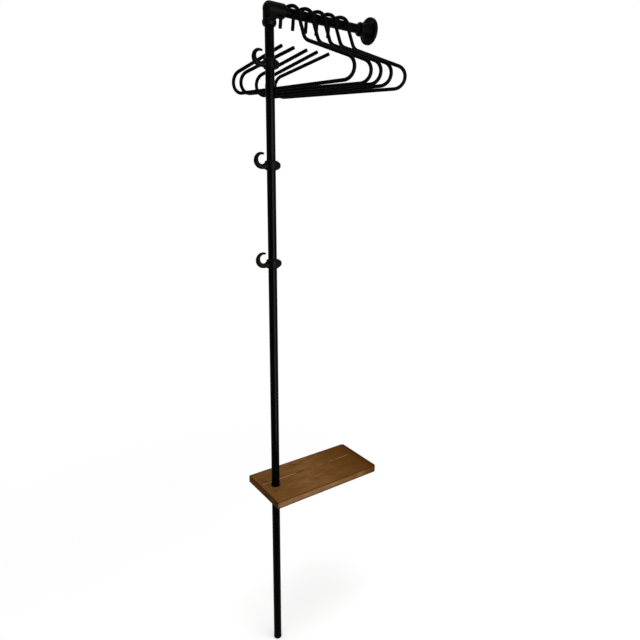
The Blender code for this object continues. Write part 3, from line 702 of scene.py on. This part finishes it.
hook_path = hook_line()
hook_curl = bend_rod("hook_curl", [(0.0, y, z) for y, z, _ in hook_path], [0.0] * len(hook_path),
                     [radius / hook_body for _, _, radius in hook_path], 2 * hook_body, curl_sides, 1,
                     cast_black)
ring_profile = arc((ring_radius - ring_edge, ring_half - ring_edge), ring_edge, 90.0, 0.0, 8)
ring_profile += arc((ring_radius - ring_edge, ring_edge - ring_half), ring_edge, 0.0, -90.0, 8)
ring_profile += [(pipe_seat / 2, -ring_half), (pipe_seat / 2, ring_half)]
boss_profile = [(0.0, boss_end)]
boss_profile += arc((boss_nose - boss_edge, boss_end - boss_edge), boss_edge, 90.0, 20.0, 8)
boss_profile += [(boss_radius, ring_radius), (boss_radius, pipe_seat / 2), (0.0, pipe_seat / 2)]
hook_block = fused_casting("hook_casting", [
    as_mesh(turned(ring_profile, cast_sides, closed=True), "hook_ring"), hook_curl,
    as_mesh(turned(boss_profile, boss_sides), "hook_boss", level_to_wall)])
hook_bore = [(0.0, hook_cut), (pipe_seat, hook_cut), (pipe_seat, -hook_cut), (0.0, -hook_cut)]
tapped_radius = set_screw_radius + screw_gap
tapped_hole = [(0.0, tapped_cut), (tapped_radius, tapped_cut), (tapped_radius, 0.0), (0.0, 0.0)]
hook_mesh = bored(hook_block, [as_mesh(turned(hook_bore, pipe_sides), "hook_bore"),
                               as_mesh(turned(tapped_hole, tapped_sides), "tapped_hole", level_to_wall)])
mark_edges(hook_mesh)
for level, height in hook_levels.items():
    copy = hook_mesh.copy()
    copy.transform(Matrix.Translation((0.0, 0.0, height)))
    set_piece(f"hook_{level}_casting", copy, cast_black, f"hook_{level}",
              [f"hook_{level}"], crease=50.0)

# Hook set screws
# A blackened grub screw with a hexagon socket in each hook's boss, at the wall side.
# Its end presses on the pole, and its head lies a little below the boss's nose.
grub_recess = 0.0015
grub_break = 0.0004
grub_socket = 0.0040
grub_turn = 21.0


def grub_screw(radius, head, chamfer, socket):
    """A headless screw along Z from its socket's face down to the pole, as a mesh."""
    profile = [(radius - chamfer, head), (radius, head - chamfer), (radius, pipe_seat + chamfer),
               (radius - chamfer, pipe_seat)]
    return as_mesh(socket_screw(profile, socket, socket), "grub_screw")


hook_grub = grub_screw(set_screw_radius, boss_end - grub_recess, grub_break, grub_socket)
for index, (level, height) in enumerate(hook_levels.items()):
    turn = (math.radians(-90.0), math.radians(grub_turn * index), 0.0)
    place_screws(f"hook_{level}_screw", hook_grub, [(0.0, 0.0, height)], [turn], f"hook_{level}",
                 [f"hook_{level}_set_screw"])

# Shelf board
# A softwood board of two staves glued edge to edge, stained brown, with eased edges.
# It is threaded over the pole through a drilled hole and rests on a set collar and a bracket.
board_low, board_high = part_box("shelf_board")
board_front_corner = 0.0060
board_wall_corner = 0.0118
least_corner = 0.0012
corner_steps = 8
board_edge = 0.0022
edge_steps = 7
board_step = 0.0080
flat_margin = 0.0006
hand_unevenness = 0.00022
long_dents = 38.0
short_dents = 150.0
board_hole = 0.01495
board_hole_sides = 72
# The hole's broken rim, as steps out from the hole and down from the face
hole_rim = ((0.0011, 0.0), (0.0006, 0.0), (0.00022, 0.00018), (0.0, 0.0007), (0.0, 0.0013))
growth_ring = 0.0052
ring_wander = 0.0085
ring_lean = 0.030
# Each stave's place in its log: the pith's place across and up, and how it rises along the board
left_pith = (-0.128, 0.512, -0.060)
right_pith = (0.034, 0.533, 0.085)
grain_relief = 0.00022
stain_mid = (0.258, 0.120, 0.0370)
stain_deep = (0.118, 0.0480, 0.0085)
stain_front = (0.158, 0.0690, 0.0150)
# Painted shade for the board's wall end
painted_wall_shade = (0.100, 0.0360, 0.0028)
stain_side = (0.275, 0.158, 0.0720)
stain_red = (0.245, 0.108, 0.0480)
stain_end = (0.142, 0.0470, 0.0160)
stain_end_deep = (0.043, 0.0185, 0.0058)
# A dark stain, also used for painted shade
dark_stain_and_shade = (0.058, 0.0205, 0.0030)
# The painted highlight along the glue seam's groove
seam_highlight = (0.430, 0.235, 0.0900)
seam_x = -0.0236
seam_wander = 0.0030
# How far from the seam its pale painted highlight fades out, and the painted shade beside it fades in and
# out
seam_line = (0.0009, 0.0030)
shade_in = (0.0024, 0.0036)
shade_out = (0.0042, 0.0072)
# Stretches of the glue seam that show the pale painted highlight, and stretches that show dark painted
# shade, as start, end and strength
seam_highlight_runs = ((-0.040, 0.098, 1.0), (0.184, 0.213, 0.55), (0.236, 0.264, 0.65),
                  (0.267, 0.334, 0.58))
seam_shade_runs = ((0.097, 0.166, 0.8), (0.175, 0.190, 0.5))
run_fade_in = 0.004
run_fade_out = 0.012
# Marks in the upper face, as two ends, half the width and the strength: a small knot and its flecks
board_marks = (((-0.0905, 0.1124), (-0.0763, 0.1258), 0.0016, 0.85),
               ((-0.0880, 0.1062), (-0.0695, 0.1243), 0.0021, 0.9),
               ((-0.0465, -0.0280), (-0.0338, -0.0150), 0.0046, 0.55),
               ((-0.0355, 0.0420), (-0.0364, 0.0640), 0.0014, 0.6),
               ((0.0200, -0.0200), (0.0390, -0.0170), 0.0034, 0.35),
               ((0.0540, 0.1760), (0.0560, 0.2100), 0.0018, 0.3))
# A painted grey sheen on the front end, near its corner, with its height as the last value
end_sheen = ((0.0500, -0.0484), (0.0680, -0.0484), 0.0066, 0.50, 0.6050)
sheen_grey = (0.0850, 0.0640, 0.0600)


def board_outline(inset):
    """The board's outline drawn in by a step, with as many points at every step."""
    low = Vector((board_low.x + inset, board_low.y + inset))
    high = Vector((board_high.x - inset, board_high.y - inset))
    size = board_high - board_low
    quarters = ((high.x, high.y, -1, -1, 0, size.x), (low.x, high.y, 1, -1, 90, size.y),
                (low.x, low.y, 1, 1, 180, size.x), (high.x, low.y, -1, 1, 270, size.y))
    rounds = []
    for x, y, across, along, start, _ in quarters:
        corner = max((board_wall_corner if along < 0 else board_front_corner) - inset, least_corner)
        centre = (x + across * corner, y + along * corner)
        rounds.append([Vector(point) for point in arc(centre, corner, start, start + 90, corner_steps)])
    outline = []
    for index, quarter in enumerate(quarters):
        start = rounds[index][-1]
        stop = rounds[(index + 1) % len(rounds)][0]
        steps = round(quarter[-1] / board_step)
        outline += rounds[index] + [start.lerp(stop, step / steps) for step in range(1, steps)]
    return outline


def uneven(point, depth):
    """How far an uneven hand draws a point of the board's edge in."""
    dent = 0.5 + 0.5 * noise.noise(point * long_dents) + 0.35 * noise.noise(point * short_dents)
    return max(dent, 0.0) * hand_unevenness * depth


def build_board():
    """The board as rings of points from its top face round its edge to its underside."""
    levels = [(board_edge + flat_margin, 0.0, 0.0), (board_edge, 0.0, 0.3)]
    for step in range(1, edge_steps + 1):
        angle = math.radians(90.0 * step / edge_steps)
        levels.append((board_edge * (1 - math.sin(angle)), board_edge * (1 - math.cos(angle)), 1.0))
    levels.append((0.0, board_edge + flat_margin, 0.5))
    rings = [(board_high.z, -1, *level) for level in levels]
    rings += [(board_low.z, 1, *level) for level in reversed(levels)]
    middle = (board_low + board_high) / 2
    half = (board_high - board_low) / 2
    shape = bmesh.new()
    loops = []
    for face, inward, inset, drop, unevenness in rings:
        loop = []
        for spot in board_outline(inset):
            point = Vector((spot.x, spot.y, face + inward * drop))
            draw = uneven(point, unevenness)
            reach = point - middle
            if abs(reach.x) / half.x > abs(reach.y) / half.y:
                point.x -= math.copysign(draw, reach.x)
            else:
                point.y -= math.copysign(draw, reach.y)
            loop.append(shape.verts.new(point))
        loops.append(loop)
    bridge(shape, loops)
    hole_loops = []
    for out, drop in hole_rim:
        hole_loops.append(round_loop(shape, board_hole + out, board_high.z - drop, board_hole_sides))
    for out, drop in reversed(hole_rim):
        hole_loops.append(round_loop(shape, board_hole + out, board_low.z + drop, board_hole_sides))
    bridge(shape, hole_loops)
    for ends in ((loops[0], hole_loops[0]), (loops[-1], hole_loops[-1])):
        border = []
        for loop in ends:
            border += [shape.edges.get(pair) for pair in zip(loop, loop[1:] + loop[:1])]
        bmesh.ops.triangle_fill(shape, use_beauty=True, edges=border)
    bmesh.ops.recalc_face_normals(shape, faces=shape.faces)
    return shape


def stained_board():
    """Stained softwood: growth rings, fibres, pores, a glue seam, dark ends and edges, with painted shade,
    a painted highlight and a painted sheen.
    """
    material, tree, shader, place = new_finish("stained_board", gloss=0.01)
    times = partial(sums, tree, "MULTIPLY")
    plus = partial(sums, tree, "ADD")
    minus = partial(sums, tree, "SUBTRACT")
    most = partial(sums, tree, "MAXIMUM")
    size_of = partial(sums, tree, "ABSOLUTE")
    fade = partial(ranged, tree)
    tint = partial(tinted, tree)
    x, y, z = put(tree, "ShaderNodeSeparateXYZ", {0: place}).outputs
    facing = put(tree, "ShaderNodeNewGeometry").outputs["Normal"]
    across, along, upward = put(tree, "ShaderNodeSeparateXYZ", {0: facing}).outputs
    edge = put(tree, "ShaderNodeAttribute", attribute_name="edge").outputs["Fac"]

    def stretched(wide, long, detail=3.0, rough=0.55):
        """Noise with its own count of cells for each metre across the grain and along it."""
        drawn = put(tree, "ShaderNodeMapping", {"Vector": place, "Scale": (wide, long, wide)},
                    vector_type="POINT")
        return speckle(tree, drawn.outputs[0], 1.0, detail, rough)

    def runs(stretches):
        """Stretches along the board, each of which fades in quickly and out slowly."""
        shown = 0.0
        for start, stop, strength in stretches:
            part = times(fade(y, start, start + run_fade_in), fade(y, stop - run_fade_out, stop, 1.0, 0.0))
            shown = plus(times(part, strength), shown)
        return shown

    def vectors(operation, first, second):
        """The outputs of a Vector Math node."""
        return put(tree, "ShaderNodeVectorMath", {0: first, 1: second}, operation=operation).outputs

    def stroke(start, stop, width, strength, height=board_high.z):
        """A straight mark between two points, on the upper face if no height is given."""
        first, last = (Vector((*end, height)) for end in (start, stop))
        reach = last - first
        way = vectors("SUBTRACT", place, first)[0]
        share = plus(vectors("DOT_PRODUCT", way, reach / reach.length_squared)["Value"], 0.0, clamp=True)
        foot = put(tree, "ShaderNodeVectorMath", {0: reach, "Scale": share}, operation="SCALE").outputs[0]
        off = vectors("DISTANCE", way, foot)["Value"]
        off = plus(off, times(minus(fibre, 0.5), width))
        return fade(off, width * 0.35, width * 1.5, strength, 0.0)

    # Each stave is cut from its own log, so its rings have their own centre and lean
    wander = times(minus(stretched(2.0, 9.0, 2.0), 0.5), seam_wander)
    seam = minus(minus(x, seam_x), wander)
    left_stave = sums(tree, "LESS_THAN", seam, 0.0)
    pith_x, pith_z, rise = (fade(left_stave, 0.0, 1.0, right, left, soft=False)
                            for left, right in zip(left_pith, right_pith))
    out_x = minus(minus(x, pith_x), times(y, ring_lean))
    out_z = minus(z, plus(pith_z, times(y, rise)))
    reach = sums(tree, "SQRT", plus(times(out_x, out_x), times(out_z, out_z)))
    growth = minus(stretched(22.0, 5.0), 0.5)
    reach = plus(reach, times(growth, ring_wander))
    year = sums(tree, "FRACT", sums(tree, "DIVIDE", reach, growth_ring))
    late = times(fade(year, 0.20, 0.86), fade(year, 0.90, 1.0, 1.0, 0.0))
    fibre = stretched(820.0, 13.0, 4.0, 0.62)
    fine = stretched(2600.0, 46.0, 2.0)
    pores = fade(stretched(1500.0, 62.0, 2.0), 0.64, 0.74)
    clouds = stretched(42.0, 13.0)
    colour = tint(times(late, 0.36), stain_mid, stain_deep)
    colour = tint(fade(fibre, 0.42, 0.70, 0.0, 0.42), colour, stain_deep)
    colour = tint(fade(clouds, 0.40, 0.64, 0.0, 0.42), colour, stain_deep)
    colour = tint(fade(y, -0.050, 0.040, 0.75, 0.0), colour, stain_front)
    # Painted shade darkens the board towards the wall end
    colour = tint(fade(y, 0.10, 0.37, 0.0, 0.95), colour, painted_wall_shade)
    # The long sides took less stain, in patches, some of them reddish
    side = fade(size_of(across), 0.72, 0.97)
    blotch = fade(stretched(70.0, 34.0), 0.36, 0.66, 0.50, 1.0)
    bare_patch = times(fade(y, 0.262, 0.288), fade(y, 0.302, 0.324, 0.8, 0.0))
    thin_stain = most(fade(y, 0.15, 0.335, 1.0, 0.05), bare_patch)
    side = times(side, times(blotch, thin_stain))
    reddish = fade(stretched(30.0, 22.0, 2.0), 0.50, 0.66, 0.0, 0.9)
    side_tone = tint(fade(fibre, 0.40, 0.68, 0.0, 0.7), stain_side, stain_mid)
    colour = tint(side, colour, tint(reddish, side_tone, stain_red))
    # The sawn ends drank the most stain, unevenly
    end = fade(size_of(along), 0.55, 0.92)
    soaked = fade(plus(x, times(clouds, 0.06)), -0.02, 0.07)
    end_tone = tint(most(times(late, 0.5), soaked), stain_end, stain_end_deep)
    colour = tint(end, colour, end_tone)
    # The glue seam's groove is painted as a pale broken line on the upper face, a painted highlight, with
    # painted shade as a dark line beside it
    flat = fade(upward, 0.9, 1.0)
    highlight_runs = runs(seam_highlight_runs)
    shade_runs = runs(seam_shade_runs)
    ragged = fade(stretched(3.0, 60.0, 2.0), 0.30, 0.60, 0.70, 1.0)
    line = times(times(fade(size_of(seam), *seam_line, 1.0, 0.0), flat), ragged)
    shade = times(fade(seam, *shade_in), fade(seam, *shade_out, 1.0, 0.0))
    shade = times(times(shade, flat), times(highlight_runs, 0.6))
    shade = most(shade, times(line, shade_runs))
    colour = tint(shade, colour, dark_stain_and_shade)
    line = times(line, highlight_runs)
    colour = tint(line, colour, seam_highlight)
    for mark in board_marks:
        colour = tint(stroke(*mark), colour, dark_stain_and_shade)
    # A painted grey sheen near the front end's corner
    colour = tint(stroke(*end_sheen), colour, sheen_grey)
    colour = tint(times(pores, 0.45), colour, dark_stain_and_shade)
    colour = tint(fade(fine, 0.45, 0.72, 0.0, 0.22), colour, stain_deep)
    # Darker along the edges: partly stain that gathered where the cloth turned, partly painted shade;
    # painted shade towards the wall end and along the lower edge of the sides
    from_left = minus(x, board_low.x)
    from_right = minus(board_high.x, x)
    from_front = minus(y, board_low.y)
    from_wall = minus(board_high.y, y)
    from_top = minus(board_high.z, z)
    # The two flat faces count as far from the lower edge, so that the painted shade there falls only on
    # the board's sides
    from_below = plus(minus(z, board_low.z), sums(tree, "GREATER_THAN", size_of(upward), 0.9))
    for first, second, start, stop, strength in (
            (from_right, from_top, 0.0012, 0.0034, 0.72),
            (from_left, from_top, 0.0020, 0.0090, 0.85),
            (from_wall, from_top, 0.0040, 0.0180, 0.85),
            (from_front, from_top, 0.0015, 0.0070, 0.70),
            (from_wall, 0.0, 0.0060, 0.0400, 0.45),
            (from_below, 0.0, 0.0015, 0.0085, 0.85)):
        rim = plus(most(first, second), times(minus(clouds, 0.5), start))
        colour = tint(fade(rim, start, stop, strength, 0.0), colour, dark_stain_and_shade)
    colour = tint(times(edge, 0.3), colour, dark_stain_and_shade)
    tree.links.new(colour, shader["Base Color"])
    dull = plus(fade(fibre, 0.35, 0.70, 0.52, 0.66), times(pores, 0.2), clamp=True)
    tree.links.new(dull, shader["Roughness"])
    relief = plus(times(fibre, 0.7), times(fine, 0.3))
    relief = minus(minus(relief, times(pores, 0.8)), times(line, 0.6))
    emboss(tree, relief, grain_relief, shader)
    return material


board_mesh = as_mesh(build_board(), "shelf_plank")
mark_edges(board_mesh, blunt=60.0, sharp=220.0)
set_piece("shelf_plank", board_mesh, stained_board(), "rack", ["shelf_board"], crease=40.0)

# Set collar
# A turned iron collar, painted as the castings are, that is clamped on the pole under the board.
# A grub screw through its wall side holds it, and the board's weight rests on its top.
collar_low, collar_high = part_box("shelf_collar")
collar_radius = 0.02075
collar_half = (collar_high.z - collar_low.z) / 2
collar_edge = 0.0010
collar_break = 0.0005
collar_sides = 72
collar_screw_radius = 0.0030
collar_screw_break = 0.0003
collar_screw_turn = 0.2
collar_socket = 0.0030
collar_hole_start = 0.0060
collar_hole_reach = 0.0300
collar_place = Matrix.Translation((0.0, 0.0, (collar_high.z + collar_low.z) / 2))
collar_corner = [(pipe_seat + collar_break, collar_half)]
collar_corner += arc((collar_radius - collar_edge, collar_half - collar_edge), collar_edge, 90.0, 0.0, 6)
collar_corner += [(collar_radius, collar_half - collar_edge - collar_break)]
collar_profile = collar_corner + [(radius, -height) for radius, height in reversed(collar_corner)]
collar_profile += [(pipe_seat, collar_break - collar_half), (pipe_seat, collar_half - collar_break)]
collar_mesh = as_mesh(turned(collar_profile, collar_sides, closed=True), "collar_ring", collar_place)
mark_edges(collar_mesh)
collar_hole_radius = collar_screw_radius + screw_gap
collar_hole = [(0.0, collar_hole_reach), (collar_hole_radius, collar_hole_reach),
               (collar_hole_radius, collar_hole_start), (0.0, collar_hole_start)]
collar_mesh = bored(in_scene("collar_ring", collar_mesh), [
    as_mesh(turned(collar_hole, hole_sides), "collar_hole", collar_place @ level_to_wall)])
set_piece("collar_ring", collar_mesh, cast_black, "rack", ["shelf_collar"], crease=30.0)
collar_grub = grub_screw(collar_screw_radius, collar_radius - collar_edge, collar_screw_break,
                         collar_socket)
place_screws("collar_grub", collar_grub, [collar_place.translation],
             [(math.radians(-90.0), collar_screw_turn, 0.0)], "rack", ["shelf_collar_screw"])

# Angle bracket
# A strip of steel sheet bent to a right angle, drilled and lacquered as the pipe is.
# One leg is screwed up into the board's end, and the other back into the wall.
bracket_low, bracket_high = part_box("shelf_bracket")
bracket_sheet = 0.0030
bracket_bend = 0.0030
bracket_leg = 0.0400
bracket_inset = 0.0270
bracket_spacing = 0.0180
bracket_burr = 0.0003
bracket_drill = 0.0200
pan_head = 0.0040
pan_height = 0.0026
pan_shank = 0.0020
pan_length = 0.0180
pan_face = 0.62
pan_shoulder = 0.35
outside_bend = bracket_sheet + bracket_bend
bend_centre = (outside_bend, -outside_bend)
bracket_section = [(bracket_leg, 0.0), (bracket_leg, -bracket_sheet)]
bracket_section += arc(bend_centre, bracket_bend, 90.0, 180.0, 10)
bracket_section += [(bracket_sheet, -bracket_leg), (0.0, -bracket_leg)]
bracket_section += arc(bend_centre, outside_bend, 180.0, 90.0, 14)
bracket_shape = bmesh.new()
bracket_sides = []
for x in (bracket_low.x, bracket_high.x):
    bracket_sides.append([bracket_shape.verts.new((x, wall_distance - out, bracket_high.z + down))
                          for out, down in bracket_section])
bridge(bracket_shape, bracket_sides)
for loop in bracket_sides:
    bracket_shape.faces.new(loop)
bmesh.ops.recalc_face_normals(bracket_shape, faces=bracket_shape.faces)
bracket_middle = (bracket_low.x + bracket_high.x) / 2
sheet_face = bracket_sheet + screw_gap
pan_hole = pan_shank + screw_gap
screw_bore = [(0.0, bracket_drill), (pan_hole, bracket_drill), (pan_hole, -bracket_drill),
              (0.0, -bracket_drill)]
board_spots = []
wall_spots = []
bracket_cutters = []
for side in (-1, 1):
    x = bracket_middle + side * bracket_spacing
    board_spots.append(Vector((x, wall_distance - bracket_inset, bracket_high.z - sheet_face)))
    wall_spots.append(Vector((x, wall_distance - sheet_face, bracket_high.z - bracket_inset)))
    for spot, lie in ((board_spots[-1], Matrix.Identity(4)), (wall_spots[-1], level_to_wall)):
        bracket_cutters.append(as_mesh(turned(screw_bore, hole_sides), "bracket_hole",
                                       Matrix.Translation(spot) @ lie))
bracket_mesh = bored(in_scene("bracket_angle", as_mesh(bracket_shape, "bracket_angle")), bracket_cutters)
bracket_block = in_scene("bracket_angle", bracket_mesh)
deburr = bracket_block.modifiers.new("Deburr", "BEVEL")
deburr.width = bracket_burr
deburr.segments = 2
deburr.limit_method = "ANGLE"
deburr.angle_limit = math.radians(40.0)
set_piece("bracket_angle", taken_out(bracket_block), pipe_lacquer, "rack",
          ["shelf_bracket"], crease=22.0)


def pan_screw(length):
    """A screw with a low round head below its seat and its shank along +Z, as a mesh."""
    shoulder = (pan_head * pan_face, pan_height * pan_shoulder)
    profile = [(pan_head * pan_face, pan_height)]
    profile += arc(shoulder, pan_head * (1 - pan_face), 80.0, 0.0, 6)
    profile += [(pan_head, 0.0), (pan_shank, 0.0), (pan_shank, head_break - length),
                (pan_shank - head_break, -length)]
    return as_mesh(socket_screw(profile, screw_socket, screw_socket_depth), "pan_screw",
                   Matrix.Rotation(math.pi, 4, "X"))


board_turns = [(0.0, 0.0, 0.3), (0.0, 0.0, 0.9)]
wall_turns = [(math.radians(-90.0), 0.5, 0.0), (math.radians(-90.0), 0.1, 0.0)]
for place, length, spots, turns in (("board", pan_length, board_spots, board_turns),
                                    ("wall", bracket_sheet, wall_spots, wall_turns)):
    place_screws(f"{place}_screws", pan_screw(length), spots, turns, "rack",
                 [f"bracket_{place}_screw_1", f"bracket_{place}_screw_2"])

# Hangers
# Five hangers, each bent from one length of round steel rod and lacquered black.
# Each hangs by its hook on the rail, with one shoulder closed at the neck and the other left free.
rod_diameter = 0.01056
rod_radius = rod_diameter / 2
rod_sides = 28
rod_bend_steps = 26
rod_edge = 0.0017
rod_edge_steps = 6
rod_overrun = 0.85
hanger_tilt = -0.99
hanger_reach = 0.2190
hanger_hooks = (0.0680, 0.1130, 0.1570, 0.1955, 0.2412)
hanger_ends = (-0.0200, -0.0010, 0.0580, 0.0950, 0.1188)
hanger_hook_height = 2.07655
rod_deep = (0.0008, 0.0008, 0.0009)
rod_pale = (0.0020, 0.0019, 0.0018)
# Corners of the rod as across, up and the radius of the bend there: the hook's tip, the hook,
# the neck, the closed shoulder's end, the other end of the lower bar, and the free end
hanger_corners = [(-0.0345, -0.0171, 0.0), (-0.0325, -0.0010, 0.0150), (-0.0325, 0.0325, 0.0324),
                  (0.0325, 0.0325, 0.0324), (0.0325, -0.0030, 0.0400), (0.0504, -0.0615, 0.0290),
                  (0.3404, -0.1840, 0.0330), (-0.4004, -0.1840, 0.0330), (-0.0340, -0.0685, 0.0)]


def cut_end(end, behind):
    """Points past a rod's end up to its square cut, with the rim of the cut broken, and their girths."""
    out = (end - behind).normalized()
    points = []
    girths = []
    for step in range(rod_edge_steps + 1):
        angle = math.radians(90.0 * step / rod_edge_steps)
        points.append(end + out * (rod_radius * rod_overrun - rod_edge * (1 - math.sin(angle))))
        girths.append(1 - rod_edge * (1 - math.cos(angle)) / rod_radius)
    return points, girths


corner_points = [Vector(corner[:2]) for corner in hanger_corners]
tip_points, tip_girths = cut_end(corner_points[0], corner_points[1])
free_points, free_girths = cut_end(corner_points[-1], corner_points[-2])
rod_line = tip_points[::-1] + corner_points[1:-1] + free_points
rod_bends = [0.0] * len(tip_points) + [corner[2] for corner in hanger_corners[1:-1]]
rod_bends += [0.0] * len(free_points)
rod_girths = tip_girths[::-1] + [1.0] * (len(corner_points) - 2) + free_girths
rod_lacquer = black_coat("rod_lacquer", rod_deep, rod_pale, peel=0.0013, relief=0.00004,
                         roughness=0.60, gloss=0.012, dust=0.02)
for index, (hook_place, end_place) in enumerate(zip(hanger_hooks, hanger_ends), start=1):
    yaw = math.asin((hook_place - end_place) / hanger_reach)
    hang = Matrix.Translation((0.0, hook_place, hanger_hook_height))
    hang = hang @ Matrix.Rotation(yaw, 4, "Z") @ Matrix.Rotation(math.radians(hanger_tilt), 4, "Y")
    line = [hang @ Vector((point.x, 0.0, point.y)) for point in rod_line]
    made = bend_rod(f"hanger_{index}_rod", line, rod_bends, rod_girths, rod_diameter, rod_sides,
                    rod_bend_steps, rod_lacquer)
    set_piece(f"hanger_{index}_rod", made, rod_lacquer, f"hanger_{index}",
              [f"hanger_{index}"])

# Studio
# A plain pale floor that fades to white, an even white surround, two soft lamps that light the
# rack and a tall one that only shows as a sheen. The camera stands where the picture was taken.
floor_white = (0.80, 0.80, 0.80)
floor_size = 14.0
floor_sides = 96
floor_drop = 0.0004
floor_lift = 0.42
floor_fade = (0.5, 2.0)
white = (1.0, 1.0, 1.0, 1.0)
surround_level = 0.46
camera_place = Vector((1.40476, -0.79891, 1.60386))
camera_turn, camera_down, camera_lean = (math.radians(angle) for angle in (54.4037, 12.6302, 0.5050))
camera_sensor = 36.0
camera_lens = 29.468
camera_shift = (-0.01034, -0.02354)


def seen_directly(tree):
    """1 for rays from the camera and for rays that mirrors and glass send on, else 0."""
    rays = put(tree, "ShaderNodeLightPath").outputs
    seen = sums(tree, "ADD", rays["Is Camera Ray"], rays["Is Glossy Ray"])
    return sums(tree, "ADD", seen, rays["Is Transmission Ray"], clamp=True)


floor_paint = bpy.data.materials.new("studio_floor")
floor_paint.use_nodes = True
tree = floor_paint.node_tree
tree.nodes.clear()
seen = seen_directly(tree)
spot = put(tree, "ShaderNodeTexCoord").outputs["Object"]
distance = put(tree, "ShaderNodeVectorMath", {0: spot}, operation="LENGTH").outputs["Value"]
far = sums(tree, "MULTIPLY", ranged(tree, distance, *floor_fade), seen)
matt = put(tree, "ShaderNodeBsdfDiffuse", {"Color": (*floor_white, 1.0)}).outputs[0]
lift = put(tree, "ShaderNodeEmission", {"Strength": sums(tree, "MULTIPLY", seen, floor_lift)}).outputs[0]
near = put(tree, "ShaderNodeAddShader", {0: matt, 1: lift}).outputs[0]
glow = put(tree, "ShaderNodeEmission", {"Strength": 1.0}).outputs[0]
floor_mix = put(tree, "ShaderNodeMixShader", {0: far, 1: near, 2: glow}).outputs[0]
put(tree, "ShaderNodeOutputMaterial", {"Surface": floor_mix})
floor_shape = bmesh.new()
bmesh.ops.create_circle(floor_shape, cap_ends=True, segments=floor_sides, radius=floor_size)
floor_mesh = as_mesh(floor_shape, "studio_floor", Matrix.Translation((0.0, 0.0, -floor_drop)))
floor_mesh.materials.append(floor_paint)
in_scene("studio_floor", floor_mesh)

world = bpy.data.worlds.new("studio_surround")
bpy.context.scene.world = world
world.use_nodes = True
tree = world.node_tree
tree.nodes.clear()
lighting = put(tree, "ShaderNodeBackground", {"Color": white, "Strength": surround_level}).outputs[0]
backdrop = put(tree, "ShaderNodeBackground", {"Color": white, "Strength": 1.0}).outputs[0]
surround = put(tree, "ShaderNodeMixShader", {0: seen_directly(tree), 1: lighting, 2: backdrop}).outputs[0]
put(tree, "ShaderNodeOutputWorld", {"Surface": surround})

# Each lamp's place, aim, width, height and power
for name, spot, target, width, height, power in (
        ("soft_key", (2.2, 1.35, 1.40), (0.0, 0.10, 1.25), 3.6, 2.5, 45.0),
        ("soft_top", (0.5, -0.3, 4.20), (0.0, 0.12, 0.80), 1.8, 1.8, 40.0),
        ("tall_sheen", (1.483, 0.222, 1.10), (0.0, 0.0, 1.10), 1.12, 2.1, 118.0)):
    lamp = bpy.data.lights.new(name, "AREA")
    lamp.shape = "RECTANGLE"
    lamp.size = width
    lamp.size_y = height
    lamp.energy = power
    holder = in_scene(name, lamp)
    holder.visible_camera = False
    holder.visible_diffuse = name != "tall_sheen"
    holder.location = spot
    holder.rotation_euler = (Vector(target) - Vector(spot)).to_track_quat("-Z", "Y").to_euler()

forward = Vector((-math.sin(camera_turn) * math.cos(camera_down),
                  math.cos(camera_turn) * math.cos(camera_down), -math.sin(camera_down)))
level = Vector((math.cos(camera_turn), math.sin(camera_turn), 0.0))
upright = level.cross(forward)
right = level * math.cos(camera_lean) + upright * math.sin(camera_lean)
top = upright * math.cos(camera_lean) - level * math.sin(camera_lean)
lens = bpy.data.cameras.new("picture_camera")
lens.sensor_width = camera_sensor
lens.lens = camera_lens
lens.shift_x, lens.shift_y = camera_shift
camera = in_scene("picture_camera", lens)
turned_to = Matrix((right, top, -forward)).transposed().to_4x4()
camera.matrix_world = Matrix.Translation(camera_place) @ turned_to
bpy.context.scene.camera = camera
bpy.context.scene.view_settings.view_transform = "Standard"
